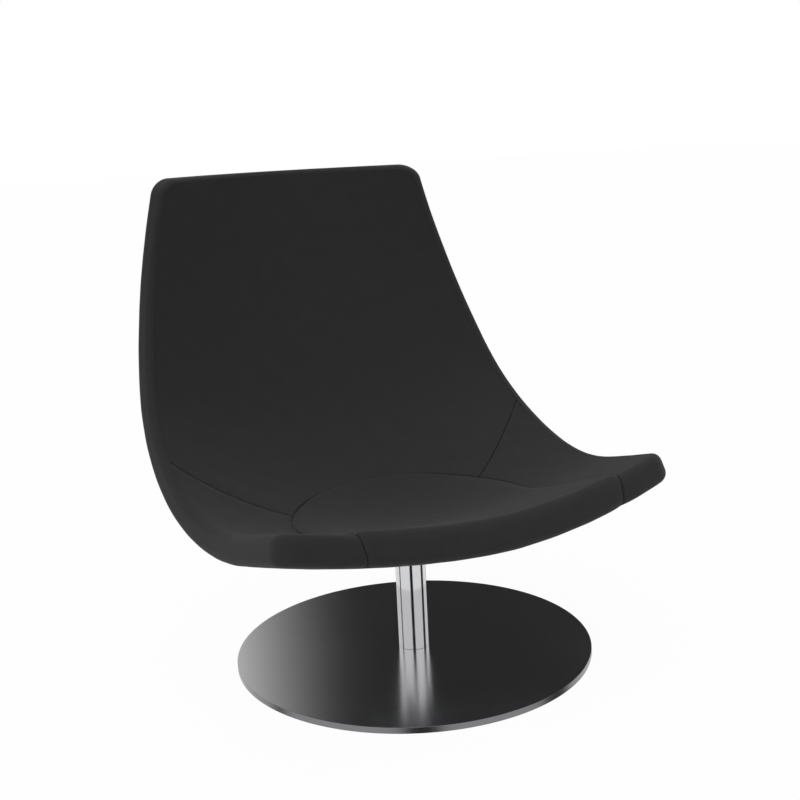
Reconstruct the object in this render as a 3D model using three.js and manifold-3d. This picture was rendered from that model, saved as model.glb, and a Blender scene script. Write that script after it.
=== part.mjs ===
// Pedestal swivel armchair: a padded one-piece shell that turns on a steel column and a round floor plate.
// Millimetres, +Z up. The sitter faces -Y. The origin is the middle of the floor face, on the swivel axis.
import * as THREE from 'three';
import { mergeVertices } from 'three/addons/utils/BufferGeometryUtils.js';
import Module from 'manifold-3d';

// Fits that several pieces share, and the steps in which points are compared and slopes measured
const seatingGap = 0.3;
const weldDistance = 0.0003;
const spotStep = 0.003;
const normalStep = 1.2;
const cutOverrun = 6;

// Floor plate and the felt pad under it
const plateDiameter = 600;
const plateThickness = 10;
const plateChamfer = 0.4;
const floorPadThickness = 1.7;
const floorPadMargin = 5;

// Column tube, the plug in its foot and the screw that pulls it onto the plate
const columnDiameter = 50.8;
const columnWall = 3;
const plugHeight = 32;
const screwDiameter = 12;
const screwLength = 34;
const screwHeadDiameter = 24;
const screwHeadHeight = 6;
const screwClearance = 0.4;
const socketWidth = 8;
const socketDepth = 4;

// Swivel: spindle, its two plastic bushes and what keeps it down
const spindleDiameter = 30;
const spindleFlangeDiameter = 62;
const spindleFlangeThickness = 6;
const spindleTail = 7;
const spindleClearance = 12;
const bushHeight = 26;
const bushFlangeThickness = 3;
const thrustWasherThickness = 1.5;
const retainingWasherThickness = 2;
const retainingWasherDiameter = 41;
const circlipThickness = 1.6;
const circlipWidth = 4;
const circlipGrooveDepth = 1.5;
const circlipOpening = THREE.MathUtils.degToRad(40);

// Steel seat plate and its four bolts, washers and threaded inserts
const seatPlateWidth = 140;
const seatPlateThickness = 5;
const seatPlateCorner = 24;
const boltSpacing = 96;
const boltDiameter = 8;
const boltClearance = 0.5;
const boltHeadDiameter = 14;
const boltHeadHeight = 4.4;
const boltSocketWidth = 5;
const boltSocketDepth = 2.6;
const boltReach = 13;
const boltWasherDiameter = 17;
const boltWasherThickness = 1.6;
const insertDiameter = 12;
const insertLength = 16;
const insertFlangeDiameter = 15;
const insertFlangeThickness = 1.5;

// Wooden block between the seat plate and the curved plywood
const blockWidth = 120;
const blockCorner = 18;
const blockOpeningClearance = 2;

// Side view of the sitting face: three arcs that run into each other, front, bend and back
const seatLowHeight = 234.7;
const seatLowPlace = -5;
const bendRadius = 392;
const bendForwardAngle = THREE.MathUtils.degToRad(17.3);
const bendRearwardAngle = THREE.MathUtils.degToRad(59.4);
const frontRadius = 3300;
const frontLength = 182;
const backRadius = 867;
const backLength = 403;

// Plan of the shell, at even steps from the front edge to the top edge
const shellHalfWidth = 361;
const halfWidthShares = [0.939, 0.98, 1, 0.953, 0.84, 0.695];
const sideRise = 104;
const sideRiseShares = [0.47, 0.596, 0.726, 0.784, 0.88, 1];
const sideRisePower = 1.7;
const sideRiseFlatShare = 0.12;
const frontBow = 31;
const topBow = 12;
const frontCornerRadius = 29;
const topCornerRadius = 30.5;

// Thickness of the shell and the rounding of its rim
const frontThickness = 47.5;
const topThickness = 30;
const innerRimShare = 0.33;
const outerRimShare = 0.34;

// Layers of the shell
const coverThickness = 1.6;
const plywoodThickness = 7;
const plywoodInset = 18;
const frontFoamShare = 0.4;
const layerGap = 0.35;
const edgeStripMargin = 1.2;

// Raised seat pad: a tongue with a half-round back edge, its sides running out to the front corners
const padHalfWidth = 210;
const padRoundPlace = 268;
const padRoundLength = 196;
const padFrontFlare = 24;
const padRaise = 7;
const padCrown = 2;
const padRollWidth = 15;
const padFrontRaiseShare = 0.65;
const padFrontRun = 80;
const padRollShares = [0.55, 0.23];

// Seams of the cover
const seamGap = 0.5;
const diagonalRimPlace = 521;
const diagonalStart = THREE.MathUtils.degToRad(30.2);
const diagonalSag = 12;

// Facets
const roundSides = 32;
const plateSides = 60;
const smallSides = 12;
const padSideSteps = 5;
const padArcSteps = 2;
const padRearSteps = 6;
const wingFrontSteps = 4;
const wingSideSteps = padSideSteps + padArcSteps - 1;
const backSideSteps = 8;
const topSteps = 16;
const rimSteps = 3;
const outerRimSteps = 2;

// Finishes
function finish(color, roughness, metalness) {
  return new THREE.MeshStandardMaterial({ color, roughness, metalness });
}
const finishes = {
  blackCloth: finish(0x2b2b2c, 0.95, 0),
  foam: finish(0xd9cf9c, 0.95, 0),
  plywood: finish(0xc9a878, 0.7, 0),
  brushedSteel: finish(0x8f8f90, 0.35, 1),
  polishedSteel: finish(0xc8c8c8, 0.12, 1),
  plainSteel: finish(0x77797c, 0.45, 1),
  zincSteel: finish(0xb4b6b8, 0.35, 1),
  brass: finish(0xb99a55, 0.35, 1),
  blackPlastic: finish(0x1c1c1d, 0.5, 0),
  whitePlastic: finish(0xe6e6e0, 0.45, 0),
  felt: finish(0x202021, 1, 0)
};

const chair = new THREE.Group();
const wasm = await Module();
wasm.setup();

// Vertices joined, triangles without area dropped
function welded(geometry) {
  const bare = new THREE.BufferGeometry();
  bare.setAttribute('position', geometry.getAttribute('position'));
  if (geometry.index) bare.setIndex(geometry.index);
  const joined = mergeVertices(bare, weldDistance);
  const index = joined.index.array;
  const kept = [];
  for (let i = 0; i < index.length; i += 3) {
    const [a, b, c] = [index[i], index[i + 1], index[i + 2]];
    if (a !== b && b !== c && c !== a) kept.push(a, b, c);
  }
  joined.setIndex(kept);
  return joined;
}

function enclosedVolume(geometry) {
  const position = geometry.getAttribute('position');
  const index = geometry.index.array;
  const [a, b, c] = [new THREE.Vector3(), new THREE.Vector3(), new THREE.Vector3()];
  let volume = 0;
  for (let i = 0; i < index.length; i += 3) {
    a.fromBufferAttribute(position, index[i]);
    b.fromBufferAttribute(position, index[i + 1]);
    c.fromBufferAttribute(position, index[i + 2]);
    volume += a.dot(b.cross(c)) / 6;
  }
  return volume;
}

// A closed surface with its faces turned outwards
function outward(geometry) {
  const closed = welded(geometry);
  if (enclosedVolume(closed) < 0) {
    const index = closed.index.array;
    for (let i = 0; i < index.length; i += 3) [index[i], index[i + 1]] = [index[i + 1], index[i]];
  }
  return closed;
}

function toSolid(geometry) {
  const closed = outward(geometry);
  const vertProperties = new Float32Array(closed.getAttribute('position').array);
  const triVerts = new Uint32Array(closed.index.array);
  return new wasm.Manifold(new wasm.Mesh({ numProp: 3, vertProperties, triVerts }));
}

function fromSolid(solid) {
  const mesh = solid.getMesh();
  const geometry = new THREE.BufferGeometry();
  geometry.setAttribute('position', new THREE.BufferAttribute(mesh.vertProperties, mesh.numProp));
  geometry.setIndex(new THREE.BufferAttribute(mesh.triVerts, 1));
  return geometry;
}

function minus(geometry, ...cutters) {
  return fromSolid(cutters.reduce((left, cutter) => left.subtract(toSolid(cutter)), toSolid(geometry)));
}

function addPiece(name, geometry, material) {
  const closed = outward(geometry);
  closed.computeVertexNormals();
  const mesh = new THREE.Mesh(closed, material);
  mesh.name = name;
  chair.add(mesh);
}

// A turned piece: a closed outline of [radius, height] points swept round the Z axis
function turned(outline, sides) {
  const points = [...outline, outline[0]].map(([radius, height]) => new THREE.Vector2(radius, height));
  return new THREE.LatheGeometry(points, sides).rotateX(Math.PI / 2);
}

function ring(innerRadius, outerRadius, bottom, top, sides) {
  const lower = [[innerRadius, bottom], [outerRadius, bottom]];
  const upper = [[outerRadius, top], [innerRadius, top]];
  return turned([...lower, ...upper], sides);
}

function rod(radius, bottom, top, sides) {
  return ring(0, radius, bottom, top, sides);
}

function moved(geometry, x, y) {
  return geometry.translate(x, y, 0);
}

// An upright prism on a shape
function upright(shape, bottom, top, curveSegments) {
  const settings = { depth: top - bottom, bevelEnabled: false, curveSegments };
  return new THREE.ExtrudeGeometry(shape, settings).translate(0, 0, bottom);
}

function roundedSquare(width, corner) {
  const half = width / 2;
  const shape = new THREE.Shape();
  shape.absarc(half - corner, half - corner, corner, 0, Math.PI / 2);
  shape.absarc(corner - half, half - corner, corner, Math.PI / 2, Math.PI);
  shape.absarc(corner - half, corner - half, corner, Math.PI, 1.5 * Math.PI);
  shape.absarc(half - corner, corner - half, corner, 1.5 * Math.PI, 2 * Math.PI);
  return shape;
}

function hexagon(width, bottom, top) {
  return rod(width / Math.sqrt(3), bottom, top, 6);
}

// Side view of the sitting face

const forwardLength = bendRadius * bendForwardAngle;
const rearwardLength = bendRadius * bendRearwardAngle;
const lowPlace = frontLength + forwardLength;
const shellLength = lowPlace + rearwardLength + backLength;

function alongArc(start, radius, length) {
  const angle = start.angle + length / radius;
  return {
    y: start.y + radius * (Math.sin(angle) - Math.sin(start.angle)),
    z: start.z - radius * (Math.cos(angle) - Math.cos(start.angle)),
    angle
  };
}

const lowPoint = { y: seatLowPlace, z: seatLowHeight, angle: 0 };
const bendFront = alongArc(lowPoint, bendRadius, -forwardLength);
const bendRear = alongArc(lowPoint, bendRadius, rearwardLength);

// Point and heading of the sitting face's middle line, a length behind the front edge
function middleLine(length) {
  if (length < frontLength) return alongArc(bendFront, frontRadius, length - frontLength);
  if (length < lowPlace + rearwardLength) return alongArc(lowPoint, bendRadius, length - lowPlace);
  return alongArc(bendRear, backRadius, length - lowPlace - rearwardLength);
}

// A smooth curve through evenly spaced shares
function throughShares(shares, share) {
  const last = shares.length - 1;
  const before = 2 * shares[0] - shares[1];
  const after = 2 * shares[last] - shares[last - 1];
  const run = [before, ...shares, after];
  const place = THREE.MathUtils.clamp(share, 0, 1) * last;
  const i = Math.min(Math.floor(place), last - 1);
  const t = place - i;
  const [a, b, c, d] = run.slice(i, i + 4);
  const bend = (2 * a - 5 * b + 4 * c - d) * t ** 2;
  const twist = (3 * b - a - 3 * c + d) * t ** 3;
  return (2 * b + (c - a) * t + bend + twist) / 2;
}

function halfWidth(place) {
  return shellHalfWidth * throughShares(halfWidthShares, place / shellLength);
}

function riseShare(share) {
  const flat = sideRiseFlatShare ** sideRisePower;
  const lifted = Math.hypot(share, sideRiseFlatShare) ** sideRisePower;
  return (lifted - flat) / (Math.hypot(1, sideRiseFlatShare) ** sideRisePower - flat);
}

function thickness(length) {
  const share = THREE.MathUtils.clamp(length / shellLength, 0, 1);
  return THREE.MathUtils.lerp(frontThickness, topThickness, share);
}

// Rows across the shell follow the bowed front and top edges
function bowed(place, x) {
  const share = place / shellLength;
  const across = (x / halfWidth(place)) ** 2;
  return place + frontBow * across * (1 - share) ** 2 - topBow * across * share ** 2;
}

function sittingFace(length, x) {
  const { y, z, angle } = middleLine(length);
  const highest = sideRise * throughShares(sideRiseShares, length / shellLength);
  const rise = highest * riseShare(x / halfWidth(length));
  return new THREE.Vector3(x, y - rise * Math.sin(angle), z + rise * Math.cos(angle));
}

function faceNormal(length, x) {
  const along = sittingFace(length + normalStep, x).sub(sittingFace(length - normalStep, x));
  const across = sittingFace(length, x + normalStep).sub(sittingFace(length, x - normalStep));
  return across.cross(along).normalize();
}

// A point of the shell: its place in the row scheme and its depth below the sitting face
function shellPoint(place, x, depth) {
  const length = bowed(place, x);
  return sittingFace(length, x).addScaledVector(faceNormal(length, x), -depth);
}

function depthThrough(place, x) {
  return thickness(bowed(place, x));
}

function plywoodTopDepth(place, x) {
  return frontFoamShare * depthThrough(place, x);
}

// Outline of the shell, drawn in by an inset. A sample names one spot on it.

const frontCornerX = halfWidth(0) - frontCornerRadius;
const topCornerX = halfWidth(shellLength) - topCornerRadius;

function frontSample(x) {
  return (inset) => ({ place: inset, x });
}

function topSample(x) {
  return (inset) => ({ place: shellLength - inset, x });
}

function sideSample(place, side) {
  return (inset) => ({ place, x: side * (halfWidth(place) - inset) });
}

function frontCornerSample(angle, side) {
  return (inset) => {
    const radius = frontCornerRadius - inset;
    const place = frontCornerRadius - radius * Math.cos(angle);
    return { place, x: side * (halfWidth(place) - frontCornerRadius + radius * Math.sin(angle)) };
  };
}

function topCornerSample(angle, side) {
  return (inset) => {
    const radius = topCornerRadius - inset;
    const place = shellLength - topCornerRadius + radius * Math.sin(angle);
    return { place, x: side * (halfWidth(place) - topCornerRadius + radius * Math.cos(angle)) };
  };
}

// Evenly spaced numbers, both ends included
function spaced(from, to, steps) {
  return Array.from({ length: steps + 1 }, (_, i) => THREE.MathUtils.lerp(from, to, i / steps));
}

// Outline of the seat pad, in the row scheme

function padSideX(place) {
  return padHalfWidth + padFrontFlare * ((padRoundPlace - place) / padRoundPlace) ** 2;
}

function padRound(angle) {
  return { place: padRoundPlace + padRoundLength * Math.sin(angle), x: padHalfWidth * Math.cos(angle) };
}

// How far inside the pad's seam a spot lies
function padDepthInside(place, x) {
  if (place < padRoundPlace) return padSideX(place) - Math.abs(x);
  return padHalfWidth * (1 - Math.hypot(x / padHalfWidth, (place - padRoundPlace) / padRoundLength));
}

function padHeight(place, x) {
  const inside = THREE.MathUtils.clamp(padDepthInside(place, x) / padRollWidth, 0, 1);
  const roll = Math.sqrt(1 - (1 - inside) ** 2);
  const run = THREE.MathUtils.smoothstep(place, 0, padFrontRun);
  const front = THREE.MathUtils.lerp(padFrontRaiseShare, 1, run);
  const crown = padCrown * (1 - (x / padSideX(Math.min(place, padRoundPlace))) ** 2);
  return front * roll * (padRaise + crown);
}

// Seam curves, each sampled once and used by the panels on both sides of it

const quarter = Math.PI / 4;
const padFrontX = padSideX(plywoodInset);
const padStraightPlaces = spaced(plywoodInset, padRoundPlace, padSideSteps);
const padSeamStraight = padStraightPlaces.map((place) => ({ place, x: padSideX(place) }));
const padSeamToDiagonal = spaced(0, diagonalStart, padArcSteps).slice(1).map(padRound);
const padSeamToRear = [padRound(quarter)];
const padSeamRear = spaced(quarter, Math.PI - quarter, padRearSteps).map(padRound);
const wingInnerSeam = [...padSeamStraight, ...padSeamToDiagonal];
const padSide = [...wingInnerSeam, ...padSeamToRear];

function mirrored(spot) {
  return { ...spot, x: -spot.x };
}

const junction = padRound(diagonalStart);
const diagonalEnd = sideSample(diagonalRimPlace, 1)(plywoodInset);
const diagonalMiddle = {
  place: (junction.place + diagonalEnd.place) / 2 - diagonalSag,
  x: (junction.x + diagonalEnd.x) / 2 + diagonalSag
};
const diagonalCurve = new THREE.QuadraticBezierCurve(
  new THREE.Vector2(junction.place, junction.x),
  new THREE.Vector2(diagonalMiddle.place, diagonalMiddle.x),
  new THREE.Vector2(diagonalEnd.place, diagonalEnd.x)
);
const wingSteps = wingFrontSteps + 1;
const diagonalSeam = diagonalCurve.getPoints(wingSteps).map((point) => ({ place: point.x, x: point.y }));

// Samples of the outline, right half, from the pad's front seam round to the middle of the top corner
const padInnerX = padFrontX - padRollWidth;
const padFrontXs = [padFrontX, ...spaced(padInnerX, -padInnerX, padRearSteps), -padFrontX];
const padFrontSamples = padFrontXs.map(frontSample);
const wingFrontSamples = [
  ...spaced(padFrontX, frontCornerX, wingFrontSteps).map(frontSample),
  frontCornerSample(quarter, 1)
];
const wingSideSamples = [
  frontCornerSample(quarter, 1),
  ...spaced(frontCornerRadius, diagonalRimPlace, wingSideSteps).map((place) => sideSample(place, 1))
];
const backSidePlaces = spaced(diagonalRimPlace, shellLength - topCornerRadius, backSideSteps);
const backSideSamples = [
  ...backSidePlaces.map((place) => sideSample(place, 1)),
  topCornerSample(quarter, 1)
];
const topSamples = [
  topCornerSample(quarter, -1),
  ...spaced(-topCornerX, topCornerX, topSteps).map(topSample),
  topCornerSample(quarter, 1)
];

function mirroredSample(sample) {
  return (inset) => mirrored(sample(inset));
}

function spotsOn(samples) {
  return samples.map((sample) => sample(plywoodInset));
}

// A grid of spots that fills the space between four edge curves of spots
function filled(bottom, top, left, right) {
  const runShares = (spots) => {
    const runs = [0];
    for (let i = 1; i < spots.length; i++) {
      runs.push(runs[i - 1] + Math.hypot(spots[i].x - spots[i - 1].x, spots[i].place - spots[i - 1].place));
    }
    return runs.map((run) => run / runs[runs.length - 1]);
  };
  const mean = (first, second) => first.map((value, i) => (value + second[i]) / 2);
  const across = mean(runShares(bottom), runShares(top));
  const along = mean(runShares(left), runShares(right));
  const last = top.length - 1;
  const blend = (key, i, j) => {
    const [u, v] = [across[j], along[i]];
    const rows = (1 - v) * bottom[j][key] + v * top[j][key];
    const columns = (1 - u) * left[i][key] + u * right[i][key];
    const lower = (1 - u) * bottom[0][key] + u * bottom[last][key];
    const upper = (1 - u) * top[0][key] + u * top[last][key];
    return rows + columns - (1 - v) * lower - v * upper;
  };
  return left.map((_, i) => bottom.map((__, j) => ({ place: blend('place', i, j), x: blend('x', i, j) })));
}

function mirroredGrid(grid) {
  return grid.map((row) => row.map(mirrored).reverse());
}

// The pad: a strip as wide as its roll along the seam, and a grid inside the strip
function insideSeam({ place, x }) {
  if (place < padRoundPlace) return { place, x: x - Math.sign(x) * padRollWidth };
  const share = 1 - padRollWidth / padHalfWidth;
  return { place: THREE.MathUtils.lerp(padRoundPlace, place, share), x: x * share };
}

const padLoop = [...padSide, ...padSeamRear.slice(1), ...padSide.slice(0, -1).map(mirrored).reverse()];
const padInnerLoop = padLoop.map(insideSeam);
const padInnerSide = padSide.map(insideSeam);
const padInnerFront = spotsOn([...padFrontSamples].slice(1, -1).reverse());
const padInnerRear = padSeamRear.map(insideSeam).reverse();
const padGrid = filled(padInnerFront, padInnerRear, padInnerSide.map(mirrored), padInnerSide);
const wingGrid = filled(spotsOn(wingFrontSamples), diagonalSeam, wingInnerSeam, spotsOn(wingSideSamples));
const rearSeam = [
  ...diagonalSeam.map(mirrored).reverse(),
  ...padSide.slice(wingInnerSeam.length).map(mirrored),
  ...[...padSeamRear].reverse().slice(1, -1),
  ...padSide.slice(wingInnerSeam.length),
  ...diagonalSeam
];
const backSide = spotsOn(backSideSamples);
const backGrid = filled(rearSeam, spotsOn(topSamples), backSide.map(mirrored), backSide);

// The whole outline in order: front from left to right, up the right side, over the top, down the left side
const rightHalf = [...wingFrontSamples, ...wingSideSamples.slice(1), ...backSideSamples.slice(1)];
const topMiddle = [...topSamples].reverse().slice(1, -1);
const frontMiddle = [...padFrontSamples].reverse().slice(1, -1);
const outlineSamples = [
  ...rightHalf,
  ...topMiddle,
  ...[...rightHalf].reverse().map(mirroredSample),
  ...frontMiddle
];

// Sheets: spots joined by triangles, counter-clockwise seen from the sitter's side

function makeSheet() {
  return { spots: [], faces: [], numbers: new Map() };
}

function spotNumber(sheet, spot) {
  const key = [spot.place, spot.x, spot.level ?? -1].map((value) => Math.round(value / spotStep)).join(' ');
  if (!sheet.numbers.has(key)) {
    sheet.numbers.set(key, sheet.spots.length);
    sheet.spots.push(spot);
  }
  return sheet.numbers.get(key);
}

function addQuad(sheet, a, b, c, d) {
  const [i, j, k, l] = [a, b, c, d].map((spot) => spotNumber(sheet, spot));
  if (a.x + c.x < 0) sheet.faces.push([i, j, k], [i, k, l]);
  else sheet.faces.push([i, j, l], [j, k, l]);
}

function addGrid(sheet, grid) {
  for (let i = 0; i + 1 < grid.length; i++) {
    for (let j = 0; j + 1 < grid[i].length; j++) {
      addQuad(sheet, grid[i][j], grid[i][j + 1], grid[i + 1][j + 1], grid[i + 1][j]);
    }
  }
  return sheet;
}

// Strips along the outline, from one level of the rim to the next one further out
function addStrips(sheet, rows, closed) {
  for (let r = 0; r + 1 < rows.length; r++) {
    const [inner, outer] = [rows[r], rows[r + 1]];
    const count = closed ? inner.length : inner.length - 1;
    for (let k = 0; k < count; k++) {
      const next = (k + 1) % inner.length;
      addQuad(sheet, outer[k], outer[next], inner[next], inner[k]);
    }
  }
  return sheet;
}

// A closed solid between two placings of the same sheet, walled along the sheet's free edges
function between(sheet, upper, lower) {
  const count = sheet.spots.length;
  const points = [...sheet.spots.map(upper), ...sheet.spots.map(lower)];
  const triangles = [];
  const uses = new Map();
  for (const [a, b, c] of sheet.faces) {
    triangles.push(a, b, c, c + count, b + count, a + count);
    for (const [from, to] of [[a, b], [b, c], [c, a]]) uses.set(`${from} ${to}`, [from, to]);
  }
  for (const [from, to] of uses.values()) {
    if (uses.has(`${to} ${from}`)) continue;
    triangles.push(from, from + count, to + count, from, to + count, to);
  }
  const geometry = new THREE.BufferGeometry().setFromPoints(points);
  geometry.setIndex(triangles);
  return geometry;
}

// The rim seen in section: how far in from the edge and how deep each level lies, and its direction inwards

function rimSection(level, place, x) {
  const through = depthThrough(place, x);
  const innerRadius = innerRimShare * through;
  const outerRadius = outerRimShare * through;
  if (level <= rimSteps) {
    const turn = (level / rimSteps) * (Math.PI / 2);
    return {
      inset: innerRadius * (1 - Math.sin(turn)),
      depth: innerRadius * (1 - Math.cos(turn)),
      inwards: Math.sin(turn),
      down: Math.cos(turn)
    };
  }
  const turn = ((level - rimSteps - 1) / outerRimSteps) * (Math.PI / 2);
  return {
    inset: outerRadius * (1 - Math.cos(turn)),
    depth: through - outerRadius * (1 - Math.sin(turn)),
    inwards: Math.cos(turn),
    down: -Math.sin(turn)
  };
}

const lastLevel = rimSteps + 1 + outerRimSteps;

// A spot of the outline at a level of the rim
function rimSpot(sample, level) {
  const base = sample(plywoodInset);
  return { place: base.place, x: base.x, level, sample };
}

// A spot on the straight line between two others, so that its points lie on the flat facets between theirs
function inLine(a, b, share) {
  const at = (key) => THREE.MathUtils.lerp(a[key], b[key], share);
  return { place: at('place'), x: at('x'), level: a.level, ends: [a, b], share };
}

// A point of the shell's outer skin, or of the same skin drawn inwards and lifted by a height
function liftedPoint(spot, inwards, height) {
  if (spot.ends) {
    const [a, b] = spot.ends.map((end) => liftedPoint(end, inwards, height));
    return a.lerp(b, spot.share);
  }
  if (spot.level === undefined) return shellPoint(spot.place, spot.x, inwards - height);
  const section = rimSection(spot.level, spot.place, spot.x);
  const edge = spot.sample(section.inset + inwards * section.inwards);
  const lift = height * Math.max(section.down, 0);
  return shellPoint(edge.place, edge.x, section.depth + inwards * section.down - lift);
}

function skinPoint(spot, inwards) {
  return liftedPoint(spot, inwards, 0);
}

function padPoint(spot, inwards) {
  return liftedPoint(spot, inwards, padHeight(spot.place, spot.x));
}

function rimRow(samples, level) {
  return samples.map((sample) => rimSpot(sample, level));
}

function innerRow(samples) {
  return samples.map((sample) => sample(plywoodInset));
}

function shifted(spot, shift) {
  const copy = { ...spot, x: spot.x + shift.x, place: spot.place + shift.place };
  if (spot.ends) copy.ends = spot.ends.map((end) => shifted(end, shift));
  return copy;
}

// Draws the free edges of a sheet back from the seams by half the seam's gap
function drawnIn(sheet, distance) {
  const edges = new Map();
  for (const [a, b, c] of sheet.faces) {
    for (const [from, to] of [[a, b], [b, c], [c, a]]) edges.set(`${from} ${to}`, [from, to]);
  }
  const shifts = sheet.spots.map(() => []);
  for (const [from, to] of edges.values()) {
    if (edges.has(`${to} ${from}`)) continue;
    const [a, b] = [sheet.spots[from], sheet.spots[to]];
    if (a.level !== undefined && b.level !== undefined && a.level === b.level) continue;
    const run = Math.hypot(b.x - a.x, b.place - a.place);
    if (run === 0) continue;
    const normal = { x: -(b.place - a.place) / run, place: (b.x - a.x) / run };
    shifts[from].push(normal);
    shifts[to].push(normal);
  }
  sheet.spots.forEach((spot, i) => {
    if (shifts[i].length === 0 || spot.level !== undefined) return;
    const sum = shifts[i].reduce((total, n) => ({ x: total.x + n.x, place: total.place + n.place }));
    const size = Math.hypot(sum.x, sum.place);
    const reach = distance * Math.min(shifts[i].length / size, 2);
    const shift = { x: (reach * sum.x) / size, place: (reach * sum.place) / size };
    sheet.spots[i] = shifted(spot, shift);
  });
  return sheet;
}

// Floor plate: a turned steel disc, countersunk from below, on a felt pad

const plateBottom = floorPadThickness + seatingGap;
const plateTop = plateBottom + plateThickness;
const plateRadius = plateDiameter / 2;
const screwRadius = screwDiameter / 2;
const screwHeadRadius = screwHeadDiameter / 2;

addPiece('floor_pad', rod(plateRadius - floorPadMargin, 0, floorPadThickness, plateSides), finishes.felt);
addPiece(
  'floor_plate',
  turned(
    [
      [screwRadius + screwClearance, plateTop],
      [screwRadius + screwClearance, plateBottom + screwHeadHeight],
      [screwHeadRadius + screwClearance, plateBottom],
      [plateRadius - plateChamfer, plateBottom],
      [plateRadius, plateBottom + plateChamfer],
      [plateRadius, plateTop - plateChamfer],
      [plateRadius - plateChamfer, plateTop]
    ],
    plateSides
  ),
  finishes.brushedSteel
);

// Heights of the seat's mounting, from the shell's underside down to the top of the column

const blockBottom = seatLowHeight - thickness(lowPlace);
const seatPlateTop = blockBottom - seatingGap;
const seatPlateBottom = seatPlateTop - seatPlateThickness;
const spindleFlangeTop = seatPlateBottom - seatingGap;
const spindleFlangeBottom = spindleFlangeTop - spindleFlangeThickness;
const thrustWasherTop = spindleFlangeBottom - seatingGap;
const bushFlangeTop = thrustWasherTop - thrustWasherThickness - seatingGap;
const bushFlangeBottom = bushFlangeTop - bushFlangeThickness;
const columnTop = bushFlangeBottom - seatingGap;
const columnBottom = plateTop + seatingGap;

// Column tube with the threaded plug in its foot, and the screw through the plate

const columnRadius = columnDiameter / 2;
const boreRadius = columnRadius - columnWall;
const fitRadius = boreRadius - seatingGap;
const threadRadius = screwRadius + screwClearance;
const screwTip = plateBottom + screwLength;
const plugTop = columnBottom + plugHeight;

const tube = ring(boreRadius, columnRadius, columnBottom, columnTop, roundSides);
const plug = ring(threadRadius, fitRadius, columnBottom, plugTop, roundSides);
addPiece('column_tube', tube, finishes.polishedSteel);
addPiece('column_plug', plug, finishes.plainSteel);
addPiece(
  'plate_screw',
  minus(
    turned(
      [
        [0, plateBottom],
        [screwHeadRadius, plateBottom],
        [screwRadius, plateBottom + screwHeadHeight],
        [screwRadius, screwTip],
        [0, screwTip]
      ],
      smallSides
    ),
    hexagon(socketWidth, plateBottom - cutOverrun, plateBottom + socketDepth)
  ),
  finishes.zincSteel
);

// Swivel: two bushes fixed in the tube, the spindle turning in them, and its washer and circlip underneath

const spindleRadius = spindleDiameter / 2;
const runningRadius = spindleRadius + seatingGap;
const spindleFlangeRadius = spindleFlangeDiameter / 2;
const spindleBottom = plugTop + spindleClearance;
const grooveRadius = spindleRadius - circlipGrooveDepth;
const grooveBottom = spindleBottom + spindleTail;
const circlipBottom = grooveBottom + seatingGap;
const circlipTop = circlipBottom + circlipThickness;
const grooveTop = circlipTop + seatingGap / 2;
const retainerBottom = circlipTop + seatingGap;
const retainerTop = retainerBottom + retainingWasherThickness;
const lowerBushBottom = retainerTop + seatingGap;
const lowerBushTop = lowerBushBottom + bushHeight;

addPiece(
  'upper_bush',
  turned(
    [
      [runningRadius, bushFlangeTop - bushHeight],
      [fitRadius, bushFlangeTop - bushHeight],
      [fitRadius, bushFlangeBottom],
      [columnRadius, bushFlangeBottom],
      [columnRadius, bushFlangeTop],
      [runningRadius, bushFlangeTop]
    ],
    roundSides
  ),
  finishes.blackPlastic
);
const lowerBush = ring(runningRadius, fitRadius, lowerBushBottom, lowerBushTop, roundSides);
addPiece('lower_bush', lowerBush, finishes.blackPlastic);
addPiece(
  'thrust_washer',
  ring(runningRadius, columnRadius, thrustWasherTop - thrustWasherThickness, thrustWasherTop, roundSides),
  finishes.whitePlastic
);
addPiece(
  'spindle',
  turned(
    [
      [0, spindleBottom],
      [spindleRadius, spindleBottom],
      [spindleRadius, grooveBottom],
      [grooveRadius, grooveBottom],
      [grooveRadius, grooveTop],
      [spindleRadius, grooveTop],
      [spindleRadius, spindleFlangeBottom],
      [spindleFlangeRadius, spindleFlangeBottom],
      [spindleFlangeRadius, spindleFlangeTop],
      [0, spindleFlangeTop]
    ],
    roundSides
  ),
  finishes.plainSteel
);
addPiece(
  'retaining_washer',
  ring(runningRadius, retainingWasherDiameter / 2, retainerBottom, retainerTop, roundSides),
  finishes.zincSteel
);

const circlipShape = new THREE.Shape();
const circlipInner = grooveRadius + seatingGap;
const circlipEnd = 2 * Math.PI - circlipOpening;
circlipShape.absarc(0, 0, circlipInner + circlipWidth, circlipOpening, circlipEnd, false);
circlipShape.absarc(0, 0, circlipInner, circlipEnd, circlipOpening, true);
addPiece('circlip', upright(circlipShape, circlipBottom, circlipTop, smallSides), finishes.plainSteel);

// Seat plate with its bolts, washers and the threaded inserts in the block

const boltRadius = boltDiameter / 2;
const boltHoleRadius = boltRadius + boltClearance;
const boltOffset = boltSpacing / 2;
const boltPlaces = [[1, -1], [1, 1], [-1, 1], [-1, -1]].map(([x, y]) => [x * boltOffset, y * boltOffset]);
const insertFlangeRadius = insertFlangeDiameter / 2;
const insertRadius = insertDiameter / 2;
const insertBottom = blockBottom;
const insertTop = insertBottom + insertLength;
const washerTop = seatPlateBottom - seatingGap;
const washerBottom = washerTop - boltWasherThickness;
const boltHeadTop = washerBottom - seatingGap;
const boltHeadBottom = boltHeadTop - boltHeadHeight;

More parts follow.
